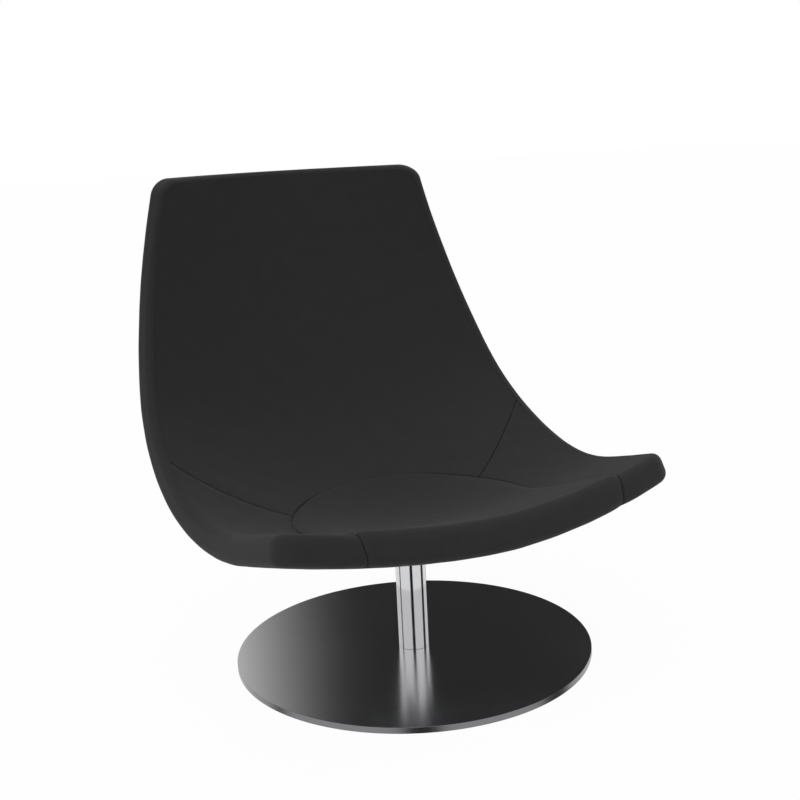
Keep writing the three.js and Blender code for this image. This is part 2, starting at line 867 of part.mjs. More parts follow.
const seatPlateShape = roundedSquare(seatPlateWidth, seatPlateCorner);
for (const [x, y] of boltPlaces) {
  const hole = new THREE.Path();
  hole.absarc(x, y, boltHoleRadius, 0, 2 * Math.PI);
  seatPlateShape.holes.push(hole);
}
const seatPlate = upright(seatPlateShape, seatPlateBottom, seatPlateTop, smallSides / 2);
addPiece('seat_plate', seatPlate, finishes.plainSteel);

boltPlaces.forEach(([x, y], i) => {
  const bolt = turned(
    [
      [0, boltHeadBottom],
      [boltHeadDiameter / 2, boltHeadBottom],
      [boltHeadDiameter / 2, boltHeadTop],
      [boltRadius, boltHeadTop],
      [boltRadius, blockBottom + boltReach],
      [0, blockBottom + boltReach]
    ],
    smallSides
  );
  const socket = hexagon(boltSocketWidth, boltHeadBottom - cutOverrun, boltHeadBottom + boltSocketDepth);
  addPiece(`plate_bolt_${i + 1}`, moved(minus(bolt, socket), x, y), finishes.zincSteel);
  const washer = ring(boltHoleRadius, boltWasherDiameter / 2, washerBottom, washerTop, smallSides);
  addPiece(`plate_washer_${i + 1}`, moved(washer, x, y), finishes.zincSteel);
  const insert = turned(
    [
      [boltHoleRadius, insertBottom],
      [insertFlangeRadius, insertBottom],
      [insertFlangeRadius, insertBottom + insertFlangeThickness],
      [insertRadius, insertBottom + insertFlangeThickness],
      [insertRadius, insertTop],
      [boltHoleRadius, insertTop]
    ],
    smallSides
  );
  addPiece(`threaded_insert_${i + 1}`, moved(insert, x, y), finishes.brass);
});

// Sheets that the layers of the shell share: the whole sitting face in four patches

function wholeFace() {
  const sheet = addStrips(addGrid(makeSheet(), padGrid), [padInnerLoop, padLoop], false);
  addGrid(sheet, wingGrid);
  addGrid(sheet, mirroredGrid(wingGrid));
  return addGrid(sheet, backGrid);
}

function plywoodBottomDepth(place, x) {
  return plywoodTopDepth(place, x) + plywoodThickness;
}

const foamInset = coverThickness + layerGap;

// Moulded plywood, inside the rim

addPiece(
  'plywood_shell',
  between(
    wholeFace(),
    ({ place, x }) => shellPoint(place, x, plywoodTopDepth(place, x)),
    ({ place, x }) => shellPoint(place, x, plywoodBottomDepth(place, x))
  ),
  finishes.plywood
);

// Soft strip glued round the edge of the plywood

function rowAt(samples, inset) {
  return samples.map((sample) => sample(inset));
}

const stripInsets = [plywoodInset - layerGap, foamInset + edgeStripMargin];
const stripRows = stripInsets.map((inset) => rowAt(outlineSamples, inset));

addPiece(
  'edge_strip',
  between(
    addStrips(makeSheet(), stripRows, true),
    ({ place, x }) => shellPoint(place, x, plywoodTopDepth(place, x)),
    ({ place, x }) => shellPoint(place, x, plywoodBottomDepth(place, x))
  ),
  finishes.foam
);

// Front foam: over the plywood and round the upper half of the rim

function frontRows(samples, levels) {
  return [innerRow(samples), ...spaced(0, levels, levels).map((level) => rimRow(samples, level))];
}

function foamEdge(spot) {
  if (spot.level === undefined) return spot;
  const section = rimSection(spot.level, spot.place, spot.x);
  return spot.sample(section.inset + foamInset * section.inwards);
}

addPiece(
  'front_foam',
  between(
    addStrips(wholeFace(), frontRows(outlineSamples, rimSteps), true),
    (spot) => skinPoint(spot, foamInset),
    (spot) => {
      const { place, x } = foamEdge(spot);
      return shellPoint(place, x, plywoodTopDepth(place, x) - layerGap);
    }
  ),
  finishes.foam
);

// Wooden block, its top hollowed to the underside of the plywood, and bored for the inserts

const blockShape = roundedSquare(blockWidth, blockCorner);
const belowPlywood = between(
  wholeFace(),
  ({ place, x }) => shellPoint(place, x, -frontThickness),
  ({ place, x }) => shellPoint(place, x, plywoodBottomDepth(place, x) + layerGap)
);
const insertBores = boltPlaces.flatMap(([x, y]) => [
  moved(rod(insertRadius + seatingGap, insertBottom - cutOverrun, insertTop + seatingGap, smallSides), x, y),
  moved(
    rod(
      insertFlangeRadius + seatingGap,
      insertBottom - cutOverrun,
      insertBottom + insertFlangeThickness + seatingGap,
      smallSides
    ),
    x,
    y
  )
]);
addPiece(
  'mounting_block',
  minus(upright(blockShape, blockBottom, seatLowHeight, smallSides / 2), belowPlywood, ...insertBores),
  finishes.plywood
);

// Rear foam: under and behind the plywood and round the lower half of the rim, open round the block

const opening = () =>
  upright(
    roundedSquare(blockWidth + 2 * blockOpeningClearance, blockCorner + blockOpeningClearance),
    blockBottom - cutOverrun,
    seatLowHeight,
    smallSides / 2
  );
const rearLevels = spaced(lastLevel - 1, rimSteps + 1, outerRimSteps - 1);
const rearRows = [innerRow(outlineSamples), ...rearLevels.map((level) => rimRow(outlineSamples, level))];

addPiece(
  'rear_foam',
  minus(
    between(
      addStrips(wholeFace(), rearRows, true),
      (spot) => {
        const { place, x } = foamEdge(spot);
        return shellPoint(place, x, plywoodBottomDepth(place, x) + layerGap);
      },
      (spot) => {
        if (spot.level !== undefined) return skinPoint(spot, foamInset);
        return shellPoint(spot.place, spot.x, depthThrough(spot.place, spot.x) - foamInset);
      }
    ),
    opening()
  ),
  finishes.foam
);

// Seat pad: a foam tongue on the front foam, rolled at its edges and carried over the front of the rim

function towardsInner(share) {
  return padLoop.map((spot, k) => inLine(spot, padInnerLoop[k], share));
}

const padRollRows = [1, ...padRollShares, 0].map(towardsInner);

function rolledRow(row) {
  const last = row.length - 1;
  const left = [...padRollShares].reverse().map((share) => inLine(row[0], row[1], share));
  const right = padRollShares.map((share) => inLine(row[last], row[last - 1], share));
  return [row[0], ...left, ...row.slice(1, last), ...right, row[last]];
}

const padFrontLeftToRight = [...padFrontSamples].reverse();

function padSheet(rollRows, samples, levels) {
  const sheet = addStrips(addGrid(makeSheet(), padGrid), rollRows, false);
  const rim = spaced(0, levels, levels).map((level) => rolledRow(rimRow(samples, level)));
  const rows = [rolledRow(innerRow(padFrontLeftToRight)), ...rim];
  return { sheet, rows };
}

const padFoam = padSheet(padRollRows.slice(0, -1), padFrontLeftToRight, rimSteps - 1);
addPiece(
  'seat_pad_foam',
  between(
    addStrips(
      padFoam.sheet,
      padFoam.rows.map((row) => row.slice(1, -1)),
      false
    ),
    (spot) => padPoint(spot, foamInset),
    (spot) => skinPoint(spot, coverThickness)
  ),
  finishes.foam
);

// Cover: sewn cloth panels. Seat pad, two wings, back, a border round the rim, and the rear panel.

function coverPanel(name, sheet, point) {
  const panel = between(
    sheet,
    (spot) => point(spot, 0),
    (spot) => point(spot, coverThickness)
  );
  addPiece(name, panel, finishes.blackCloth);
}

function edgeAt(sample, share) {
  const { place, x } = sample(plywoodInset);
  return sample(share * depthThrough(place, x) + seamGap / 2);
}

function toBorder(samples) {
  return [innerRow(samples), samples.map((sample) => edgeAt(sample, innerRimShare))];
}

const padCoverReach = padFrontX - seamGap / 2;
const padCoverSamples = [
  frontSample(-padCoverReach),
  ...padFrontLeftToRight.slice(1, -1),
  frontSample(padCoverReach)
];
const padCover = padSheet(padRollRows, padCoverSamples, lastLevel);
const padCoverSheet = addStrips(padCover.sheet, padCover.rows, false);
coverPanel('cover_seat_pad', drawnIn(padCoverSheet, seamGap / 2), padPoint);

const wingOutline = [...wingFrontSamples, ...wingSideSamples.slice(1)];
const leftWingOutline = [...wingOutline].reverse().map(mirroredSample);
const backOutline = [
  ...backSideSamples,
  ...topMiddle,
  ...[...backSideSamples].reverse().map(mirroredSample)
];

function facePanel(grid, edgeSamples) {
  return addStrips(addGrid(makeSheet(), grid), toBorder(edgeSamples), false);
}

const wingSheet = facePanel(wingGrid, wingOutline);
const leftWingSheet = facePanel(mirroredGrid(wingGrid), leftWingOutline);
const backSheet = facePanel(backGrid, backOutline);
coverPanel('cover_wing_right', drawnIn(wingSheet, seamGap / 2), skinPoint);
coverPanel('cover_wing_left', drawnIn(leftWingSheet, seamGap / 2), skinPoint);
coverPanel('cover_back', drawnIn(backSheet, seamGap / 2), skinPoint);

const borderSamples = [
  frontSample(padFrontX + seamGap / 2),
  ...rightHalf.slice(1),
  ...topMiddle,
  ...[...rightHalf.slice(1)].reverse().map(mirroredSample),
  frontSample(-padFrontX - seamGap / 2)
];
const borderRows = spaced(0, lastLevel, lastLevel).map((level) => rimRow(borderSamples, level));
coverPanel('cover_border', addStrips(makeSheet(), borderRows, false), skinPoint);

const rearSheet = addStrips(wholeFace(), [innerRow(outlineSamples), outlineSamples.map((sample) => edgeAt(sample, outerRimShare))], true);

addPiece(
  'cover_rear',
  minus(
    between(
      drawnIn(rearSheet, seamGap / 2),
      ({ place, x }) => shellPoint(place, x, depthThrough(place, x) - coverThickness),
      ({ place, x }) => shellPoint(place, x, depthThrough(place, x))
    ),
    opening()
  ),
  finishes.blackCloth
);

export default chair;
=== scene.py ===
"""Pedestal swivel armchair: a padded shell that turns on a steel column and a round floor plate.

Metres, +Z up. The sitter faces -Y. The origin is the floor face's middle, on the swivel axis.
"""

import bpy
import numpy as np
from mathutils import Matrix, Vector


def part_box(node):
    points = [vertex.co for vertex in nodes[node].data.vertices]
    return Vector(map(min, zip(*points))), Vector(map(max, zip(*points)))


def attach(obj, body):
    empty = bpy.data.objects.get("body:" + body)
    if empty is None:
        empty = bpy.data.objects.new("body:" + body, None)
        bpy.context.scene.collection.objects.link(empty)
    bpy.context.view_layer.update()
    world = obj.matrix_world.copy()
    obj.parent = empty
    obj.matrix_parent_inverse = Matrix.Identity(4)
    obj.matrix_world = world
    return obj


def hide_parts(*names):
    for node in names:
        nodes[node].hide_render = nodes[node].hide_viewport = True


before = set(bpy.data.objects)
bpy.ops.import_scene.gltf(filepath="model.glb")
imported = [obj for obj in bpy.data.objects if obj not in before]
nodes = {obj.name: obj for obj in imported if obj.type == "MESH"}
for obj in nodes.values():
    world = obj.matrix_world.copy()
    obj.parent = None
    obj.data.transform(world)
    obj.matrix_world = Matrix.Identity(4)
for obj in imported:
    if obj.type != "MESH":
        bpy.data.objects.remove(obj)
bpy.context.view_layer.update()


# Felt pad: a black pressed-felt disc glued under the steel plate, so that the chair neither
# scratches nor slides on a hard floor. It is die-cut a little smaller than the plate.

def new_material(name, colour, roughness, metallic=0.0):
    """A Principled material with plain values. Returns it, its node tree and its shader."""
    material = bpy.data.materials.new(name)
    material.use_nodes = True
    tree = material.node_tree
    shader = tree.nodes["Principled BSDF"]
    shader.inputs["Base Color"].default_value = (*colour, 1.0)
    shader.inputs["Roughness"].default_value = roughness
    shader.inputs["Metallic"].default_value = metallic
    return material, tree, shader


def wired(tree, kind, *in_order, operation=None, **by_name):
    """A shader node and its inputs, in order or by name.

    A socket is linked, and so is a node's first output. Any other value is set.
    """
    node = tree.nodes.new("ShaderNode" + kind)
    if operation:
        node.operation = operation
    for key, value in [*enumerate(in_order), *by_name.items()]:
        socket = node.inputs[key.replace("_", " ") if isinstance(key, str) else key]
        value = value.outputs[0] if isinstance(value, bpy.types.Node) else value
        if isinstance(value, bpy.types.NodeSocket):
            tree.links.new(value, socket)
        else:
            socket.default_value = value
    return node


def effect_group(name, **inputs):
    """A node group with inputs, each by name and kind. Returns it and its inputs' sockets."""
    group = bpy.data.node_groups.new(name, "ShaderNodeTree")
    for label, kind in inputs.items():
        label = label.replace("_", " ")
        group.interface.new_socket(label, in_out="INPUT", socket_type="NodeSocket" + kind)
    return group, group.nodes.new("NodeGroupInput").outputs


def given_out(group, **nodes_out):
    """A node group with outputs, which are single values: each is a node's first output."""
    for label in nodes_out:
        group.interface.new_socket(label, in_out="OUTPUT", socket_type="NodeSocketFloat")
    leave = group.nodes.new("NodeGroupOutput")
    for label, node in nodes_out.items():
        group.links.new(node.outputs[0], leave.inputs[label])
    return group


def fuzz_group():
    """Fibre fuzz: noise on the piece's own place. Height is the fibres, Shade a slow drift."""
    group, entry = effect_group("fibre_fuzz", Fibre_scale="Float", Drift_scale="Float")
    here = wired(group, "TexCoord").outputs["Object"]
    fibres = wired(group, "TexNoise", Vector=here, Scale=entry["Fibre scale"], Detail=4.0)
    drift = wired(group, "TexNoise", Vector=here, Scale=entry["Drift scale"], Detail=2.0)
    return given_out(group, Height=fibres, Shade=drift)


fibre_fuzz = fuzz_group()


def two_tones(tree, shader, mask, dark, light):
    """Base Color runs from dark to light as the mask goes from 0 to 1."""
    tones = tree.nodes.new("ShaderNodeMix")
    tones.data_type = "RGBA"
    tones.inputs["A"].default_value = (*dark, 1.0)
    tones.inputs["B"].default_value = (*light, 1.0)
    tree.links.new(mask, tones.inputs["Factor"])
    tree.links.new(tones.outputs["Result"], shader.inputs["Base Color"])


def raised_by(tree, shader, height, strength, distance):
    """The surface's normal follows a height map, distance metres deep."""
    bump = wired(tree, "Bump", Strength=strength, Distance=distance, Height=height)
    tree.links.new(bump.outputs["Normal"], shader.inputs["Normal"])


def placed_group(tree, group, **values):
    """A node group placed in a material, with its inputs' values."""
    node = tree.nodes.new("ShaderNodeGroup")
    node.node_tree = group
    for name, value in values.items():
        node.inputs[name.replace("_", " ")].default_value = value
    return node


felt, tree, shader = new_material("pressed_felt", (0.014, 0.014, 0.015), 1.0)
fuzz = placed_group(tree, fibre_fuzz, Fibre_scale=1400.0, Drift_scale=30.0)
two_tones(tree, shader, fuzz.outputs["Shade"], (0.009, 0.009, 0.010), (0.020, 0.020, 0.021))
raised_by(tree, shader, fuzz.outputs["Height"], 0.5, 0.0006)


def finished(node, material):
    """A CAD node that keeps its shape takes a material in all its slots."""
    mesh = nodes[node].data
    if not mesh.materials:
        mesh.materials.append(material)
    for slot in nodes[node].material_slots:
        slot.material = material


finished("floor_pad", felt)


# Floor plate: a disc of stainless steel, 600 mm across and 10 mm thick, cut, satin ground on its
# face, with both rims just broken. Its cut edge is rougher, and darker in colour as painted shade
# that stands in for the dark reflection the edge shows. A countersunk screw holds it from below.

def closed_loops(name, loops):
    """Loops of points (loops, points, 3): each joins the next, and the last joins the first."""
    count, size = loops.shape[:2]
    here = np.arange(count * size).reshape(count, size)
    after = np.roll(here, -1, axis=0)
    quads = np.stack([here, np.roll(here, -1, 1), np.roll(after, -1, 1), after], -1).reshape(-1, 4)
    return mesh_piece(name, loops.reshape(-1, 3), quads)


def mesh_piece(name, points, quads, uv=None):
    """A smooth mesh of points and four-cornered faces, with each point's place on the cloth."""
    mesh = bpy.data.meshes.new(name)
    mesh.from_pydata([], [], [])
    mesh.vertices.add(len(points))
    mesh.vertices.foreach_set("co", np.ascontiguousarray(points, np.float32).ravel())
    mesh.loops.add(quads.size)
    mesh.loops.foreach_set("vertex_index", quads.astype(np.int32).ravel())
    mesh.polygons.add(len(quads))
    mesh.polygons.foreach_set("loop_start", np.arange(0, quads.size, 4, dtype=np.int32))
    mesh.polygons.foreach_set("use_smooth", np.ones(len(quads), bool))
    if uv is not None:
        layer = mesh.uv_layers.new(name="cloth")
        layer.data.foreach_set("uv", uv[quads.ravel()].astype(np.float32).ravel())
    mesh.update(calc_edges=True)
    mesh.validate()
    piece = bpy.data.objects.new(name, mesh)
    bpy.context.scene.collection.objects.link(piece)
    return piece


def turned(name, profile, steps):
    """A turned ring: each (radius, height) of a closed profile, anticlockwise, circles the Z axis.

    Every corner is cut a hair to each side of it, and backed by a second loop a hair further on,
    so that faces stay flat in the shading and only the corner is round.
    """
    corners = np.array(profile, float)
    ahead = np.roll(corners, -1, 0) - corners
    behind = np.roll(corners, 1, 0) - corners
    ahead /= np.linalg.norm(ahead, axis=1, keepdims=True)
    behind /= np.linalg.norm(behind, axis=1, keepdims=True)
    section = corners[:, None] + hair * np.stack([2 * behind, behind, ahead, 2 * ahead], 1)
    section = section.reshape(-1, 2)
    angle = np.arange(steps) * 2 * np.pi / steps
    radius, height = section[:, :1], section[:, 1:]
    loops = np.stack([radius * np.cos(angle), radius * np.sin(angle), height + 0 * angle], -1)
    return closed_loops(name, loops)


hair, corner_loops = 0.00006, 4
plate_radius, plate_bottom, plate_top = 0.300, 0.002, 0.012
plate_face_edge, plate_steps = 0.0004, 288
screw_bore, screw_head_bore, screw_head_height = 0.0064, 0.0124, 0.006
floor_plate = turned(
    "steel_floor_plate",
    [
        (screw_bore, plate_top),
        (screw_bore, plate_bottom + screw_head_height),
        (screw_head_bore, plate_bottom),
        (plate_radius - plate_face_edge, plate_bottom),
        (plate_radius, plate_bottom + plate_face_edge),
        (plate_radius, plate_top - plate_face_edge),
        (plate_radius - plate_face_edge, plate_top),
    ],
    plate_steps,
)


def scratches_group():
    """Grinding marks: noise stretched per axis. Height is the marks, Patch a slow drift."""
    group, entry = effect_group("grinding_marks", Mark_scale="Float", Stretch="Vector")
    here = wired(group, "TexCoord").outputs["Object"]
    drawn_out = wired(group, "VectorMath", here, entry["Stretch"], operation="MULTIPLY")
    marks = wired(group, "TexNoise", Vector=drawn_out, Scale=entry["Mark scale"], Detail=3.0)
    patch = wired(group, "TexNoise", Vector=here, Scale=7.0, Detail=3.0)
    return given_out(group, Height=marks, Patch=patch)


grinding_marks = scratches_group()


def ranged(tree, value, low, high):
    """A mask from 0 to 1 mapped onto the range from low to high."""
    return wired(tree, "MapRange", Value=value, To_Min=low, To_Max=high).outputs["Result"]


def metal(name, colour, roughness, scale, stretch, depth):
    """A bare metal: grinding marks in its height, and roughness that drifts between two values."""
    material, tree, shader = new_material(name, colour, roughness[0], 1.0)
    marks = placed_group(tree, grinding_marks, Mark_scale=scale, Stretch=stretch)
    tree.links.new(ranged(tree, marks.outputs["Patch"], *roughness), shader.inputs["Roughness"])
    darker = tuple(0.94 * part for part in colour)
    two_tones(tree, shader, marks.outputs["Height"], darker, colour)
    raised_by(tree, shader, marks.outputs["Height"], 0.25, depth)
    return material


floor_plate.data.materials.append(
    metal("satin_ground_steel", (0.76, 0.76, 0.77), (0.15, 0.20), 60.0, (1.0, 22.0, 22.0), 0.00002)
)
# The edge steel's darker colour is painted shade, standing in for the dark reflection of the edge.
floor_plate.data.materials.append(
    metal("steel_edge_painted_shade", (0.22, 0.22, 0.23), (0.20, 0.30), 60.0, (9.0, 9.0, 1.0), 0.00003)
)
# The cut edge's rings lie between the profile's fourth corner and its last, the arrises included.
# They take the darker steel, whose colour is painted shade that also dims the arrises' highlight.
ring_of_face = np.arange(len(floor_plate.data.polygons)) // plate_steps
on_edge = (ring_of_face > 3 * corner_loops) & (ring_of_face < 6 * corner_loops + 2)
floor_plate.data.polygons.foreach_set("material_index", on_edge.astype(np.int32))
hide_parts("floor_plate")
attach(floor_plate, "base")


# Column: a polished steel tube, 50.8 mm across with a 3 mm wall. A threaded plug pressed into its
# foot takes the screw from below and pulls the tube's cut end down onto the plate.

column_radius, column_wall, column_steps = 0.0254, 0.003, 160
column_bottom, column_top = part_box("column_tube")[0][2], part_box("column_tube")[1][2]
column = turned(
    "steel_column",
    [
        (column_radius, column_bottom),
        (column_radius, column_top),
        (column_radius - column_wall, column_top),
        (column_radius - column_wall, column_bottom),
    ],
    column_steps,
)
column.data.materials.append(
    metal("polished_steel", (0.65, 0.65, 0.66), (0.07, 0.11), 90.0, (1.0, 1.0, 12.0), 0.000004)
)
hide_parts("column_tube")
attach(column, "base")

plain_steel = metal(
    "oiled_plain_steel", (0.20, 0.21, 0.22), (0.38, 0.50), 70.0, (9.0, 9.0, 1.0), 0.00003
)
zinc_steel = metal("bright_zinc", (0.50, 0.51, 0.52), (0.28, 0.38), 240.0, (1.0, 1.0, 1.0), 0.00003)
finished("column_plug", plain_steel)
finished("plate_screw", zinc_steel)


# Swivel: two moulded bushes pressed into the tube carry the steel spindle, which ends in a welded
# flange. A white low-friction washer runs under the flange, and a washer and circlip hold it down.

def plastic(name, colour, roughness):
    """A moulded plastic: a faint grain in its height and a slow drift of tone."""
    material, tree, shader = new_material(name, colour, roughness)
    fuzz = placed_group(tree, fibre_fuzz, Fibre_scale=900.0, Drift_scale=40.0)
    two_tones(tree, shader, fuzz.outputs["Shade"], tuple(0.85 * part for part in colour), colour)
    raised_by(tree, shader, fuzz.outputs["Height"], 0.2, 0.0002)
    return material


bush_plastic = plastic("black_bush_plastic", (0.012, 0.012, 0.013), 0.5)
washer_plastic = plastic("white_washer_plastic", (0.75, 0.75, 0.70), 0.45)
finished("upper_bush", bush_plastic)
finished("lower_bush", bush_plastic)
finished("retaining_washer", zinc_steel)
finished("circlip", plain_steel)

washer_low, washer_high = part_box("thrust_washer")
running_radius, washer_steps = 0.0153, 96
thrust_washer = turned(
    "white_thrust_washer",
    [
        (running_radius, washer_low[2]),
        (washer_high[0], washer_low[2]),
        (washer_high[0], washer_high[2]),
        (running_radius, washer_high[2]),
    ],
    washer_steps,
)
thrust_washer.data.materials.append(washer_plastic)
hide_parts("thrust_washer")
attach(thrust_washer, "seat")
finished("spindle", plain_steel)


# Seat plate: 5 mm steel, 140 mm square, welded to the spindle's flange. Four button-head bolts with
# washers pass through it into brass inserts in the wooden block.

def bolt_names(stem):
    """The four names of a piece that repeats at the plate's corners."""
    return [f"{stem}_{number}" for number in range(1, 5)]


brass = metal("turned_brass", (0.48, 0.32, 0.09), (0.3, 0.4), 200.0, (1.0, 1.0, 6.0), 0.00002)
finished("seat_plate", plain_steel)
for name in bolt_names("plate_bolt") + bolt_names("plate_washer"):
    finished(name, zinc_steel)
for name in bolt_names("threaded_insert"):
    finished(name, brass)


# Wooden block and moulded plywood: seven veneers pressed to the curve of the seat and back, with a
# block glued under the lowest place. Both are hidden by the padding.

def veneer_group():
    """Birch grain: noise drawn out along the grain. Height is the pores, Figure the figure."""
    group, _ = effect_group("birch_grain")
    here = wired(group, "TexCoord").outputs["Object"]
    drawn_out = wired(group, "Mapping", Vector=here, Scale=(40.0, 4.0, 40.0))
    figure = wired(group, "TexNoise", Vector=drawn_out, Scale=1.0, Detail=5.0, Distortion=1.5)
    pores = wired(group, "TexNoise", Vector=drawn_out, Scale=14.0)
    return given_out(group, Height=pores, Figure=figure)


birch_grain = veneer_group()
plywood, tree, shader = new_material("birch_plywood", (0.58, 0.40, 0.22), 0.6)
grain = placed_group(tree, birch_grain)
two_tones(tree, shader, grain.outputs["Figure"], (0.44, 0.28, 0.14), (0.66, 0.48, 0.28))
raised_by(tree, shader, grain.outputs["Height"], 0.3, 0.0002)
finished("mounting_block", plywood)
finished("plywood_shell", plywood)


# Sitting face: the padded shell is one compound curve. Its middle line is three arcs, front, bend
# and back, and each row across it rises towards the sides.

seat_low_height, seat_low_place = 0.2347, -0.005
bend_radius, front_arc_radius, back_arc_radius = 0.392, 3.3, 0.867
bend_forward, bend_rearward = np.radians(17.3), np.radians(59.4)
front_arc_length, back_arc_length = 0.182, 0.403
shell_half_width, side_rise = 0.361, 0.104
half_width_shares = np.array([0.939, 0.98, 1.0, 0.953, 0.84, 0.695])
side_rise_shares = np.array([0.47, 0.596, 0.726, 0.784, 0.88, 1.0])
rise_power, flat_share, slope_step = 1.7, 0.12, 0.001
front_bow, top_bow = 0.031, 0.012
front_corner, top_corner = 0.029, 0.0305
front_thickness, top_thickness = 0.0475, 0.030
uneven_depth, uneven_lengths = 0.0002, (0.085, 0.068)
wander, wander_lengths = (1.7, 1.3), (0.31, 0.23)
low_place = front_arc_length + bend_radius * bend_forward
bend_end = low_place + bend_radius * bend_rearward
shell_length = bend_end + back_arc_length


def along_arc(y, z, heading, radius, length):
    """A point carried along an arc: its heading turns by length / radius."""
    turned_to = heading + length / radius
    ahead = y + radius * (np.sin(turned_to) - np.sin(heading))
    up = z - radius * (np.cos(turned_to) - np.cos(heading))
    return ahead, up, turned_to


def middle_line(length):
    """y, z and heading at a length from the front edge, on three arcs that run into each other."""
    low = seat_low_place, seat_low_height, 0.0, bend_radius
    bend = along_arc(*low, length - low_place)
    start, end = [along_arc(*low, place - low_place) for place in (front_arc_length, bend_end)]
    front = along_arc(*start, front_arc_radius, length - front_arc_length)
    back = along_arc(*end, back_arc_radius, length - bend_end)
    parts = [length < front_arc_length, length < bend_end]
    return [np.select(parts, [f, b], k) for f, b, k in zip(front, bend, back)]


def through(shares, share):
    """A Catmull-Rom curve through evenly spaced shares."""
    run = np.concatenate([[2 * shares[0] - shares[1]], shares, [2 * shares[-1] - shares[-2]]])
    place = np.clip(share, 0, 1) * (len(shares) - 1)
    i = np.minimum(place.astype(int), len(shares) - 2)
    t = place - i
    a, b, c, d = run[i], run[i + 1], run[i + 2], run[i + 3]
    square, cube = 2 * a - 5 * b + 4 * c - d, 3 * b - a - 3 * c + d
    return 0.5 * (2 * b + (c - a) * t + square * t**2 + cube * t**3)


def half_width(place):
    """Half the shell's width at a place: the widest half width times a smooth curve of shares."""
    return shell_half_width * through(half_width_shares, np.asarray(place, float) / shell_length)


def sitting_face(length, x):
    """A row rises square to the middle line, by side_rise times the share of x to the rise power.

    A hyperbola in place of the share keeps the row's middle smooth.
    """
    y, z, heading = middle_line(length)
    flat = flat_share**rise_power
    full = np.hypot(1, flat_share) ** rise_power
    lifted = (np.hypot(x / half_width(length), flat_share) ** rise_power - flat) / (full - flat)
    rise = side_rise * through(side_rise_shares, length / shell_length) * lifted
    return np.stack([x + 0 * y, y - rise * np.sin(heading), z + rise * np.cos(heading)], -1)


def bowed(place, x):
    """Rows bow as the front and top edges do: with x squared, and less towards the other end."""
    share, across = place / shell_length, (x / half_width(place)) ** 2
    return place + front_bow * across * (1 - share) ** 2 - top_bow * across * share**2


def unevenness(place, x):
    """The foam's slow, slight unevenness: two crossing waves, and each wanders with the other."""
    waves = [
        np.sin(2 * np.pi * run / length + shift * np.sin(2 * np.pi * other / other_length))
        for run, length, shift, other, other_length
        in zip((place, x), uneven_lengths, wander, (x, place), wander_lengths)
    ]
    return uneven_depth * waves[0] * waves[1]


def shell_point(place, x, depth):
    """A point a depth below the sitting face, along its normal."""
    depth = np.asarray(depth) + unevenness(place, x)
    length = bowed(place, x)
    up = sitting_face(length + slope_step, x) - sitting_face(length - slope_step, x)
    across = sitting_face(length, x + slope_step) - sitting_face(length, x - slope_step)
    normal = np.cross(across, up)
    normal /= np.linalg.norm(normal, axis=-1, keepdims=True)
    return sitting_face(length, x) - normal * depth[..., None]


def thickness(place, x):
    """The shell thins evenly from the front edge to the top edge."""
    run = np.clip(bowed(place, x) / shell_length, 0, 1)
    return front_thickness + (top_thickness - front_thickness) * run


# Upholstery cloth: near-black felted wool, sewn from panels and glued to the foam. It is matt, with
# short fibres over a fine plain weave that only shows from close by.

cloth_thickness, mid_depth = 0.0016, 0.02


def weave_group():
    """Plain weave under felted fibres: sin(u) * sin(v) over the threads, plus noise."""
    group, entry = effect_group("felted_weave", Thread_turns="Float")
    here = wired(group, "UVMap")
    here.uv_map = "cloth"
    threads = wired(group, "VectorMath", here, Scale=entry["Thread turns"], operation="SCALE")
    waves = wired(group, "VectorMath", threads, operation="SINE")
    over, under = wired(group, "SeparateXYZ", waves).outputs[:2]
    crossing = wired(group, "Math", over, under, operation="MULTIPLY")
    fibres = wired(group, "TexNoise", Vector=here, Scale=900.0, Detail=5.0, Roughness=0.7)
    drift = wired(group, "TexNoise", Vector=here, Scale=26.0, Detail=6.0, Roughness=0.75)
    felted = wired(group, "Math", crossing, 0.22, fibres, operation="MULTIPLY_ADD")
    return given_out(group, Height=felted, Shade=drift)


felted_weave = weave_group()
wool, tree, shader = new_material("black_felted_wool", (0.032, 0.032, 0.033), 0.95)
shader.inputs["Specular IOR Level"].default_value = 0.25
shader.inputs["Sheen Weight"].default_value = 0.25
shader.inputs["Sheen Roughness"].default_value = 0.45
shader.inputs["Sheen Tint"].default_value = (0.60, 0.60, 0.62, 1.0)
weave = placed_group(tree, felted_weave, Thread_turns=5200.0)
two_tones(tree, shader, weave.outputs["Shade"], (0.026, 0.026, 0.027), (0.036, 0.036, 0.037))
raised_by(tree, shader, weave.outputs["Height"], 0.6, 0.0004)


def closed_sheet(name, outer, inner, node, material, uv=None, kept=None):
    """A closed form between two sheets of place, x and depth, walled along its free edges.

    A spot lies on the cloth at its x and place, where no other uv is given.
    """
    rows, columns = outer[0].shape
    count = rows * columns
    points = np.concatenate([shell_point(*sheet).reshape(-1, 3) for sheet in (outer, inner)])
    here = np.arange(count).reshape(rows, columns)
    front = np.stack([here[:-1, :-1], here[:-1, 1:], here[1:, 1:], here[1:, :-1]], -1)
    front = front.reshape(-1, 4) if kept is None else front[kept]
    edges = np.concatenate([front[:, [k, (k + 1) % 4]] for k in range(4)])
    key, opposite = edges[:, 0] * count + edges[:, 1], edges[:, 1] * count + edges[:, 0]
    free = edges[~np.isin(key, opposite)]
    walls = np.stack([free[:, 1], free[:, 0], free[:, 0] + count, free[:, 1] + count], -1)
    quads = np.concatenate([front, front[:, ::-1] + count, walls])
    used, quads = np.unique(quads, return_inverse=True)
    uv = np.stack([outer[1], outer[0]], -1) if uv is None else uv
    spots = np.tile(uv.reshape(-1, 2), (2, 1))
    piece = mesh_piece(name, points[used], quads.reshape(-1, 4), spots[used])
    piece.data.materials.append(material)
    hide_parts(node)
    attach(piece, "seat")


# Seams: the panels are joined face to face and turned in, so each seam is a narrow ditch between
# two rounded edges, in a shallow valley where the thread pulls the cloth into the foam.

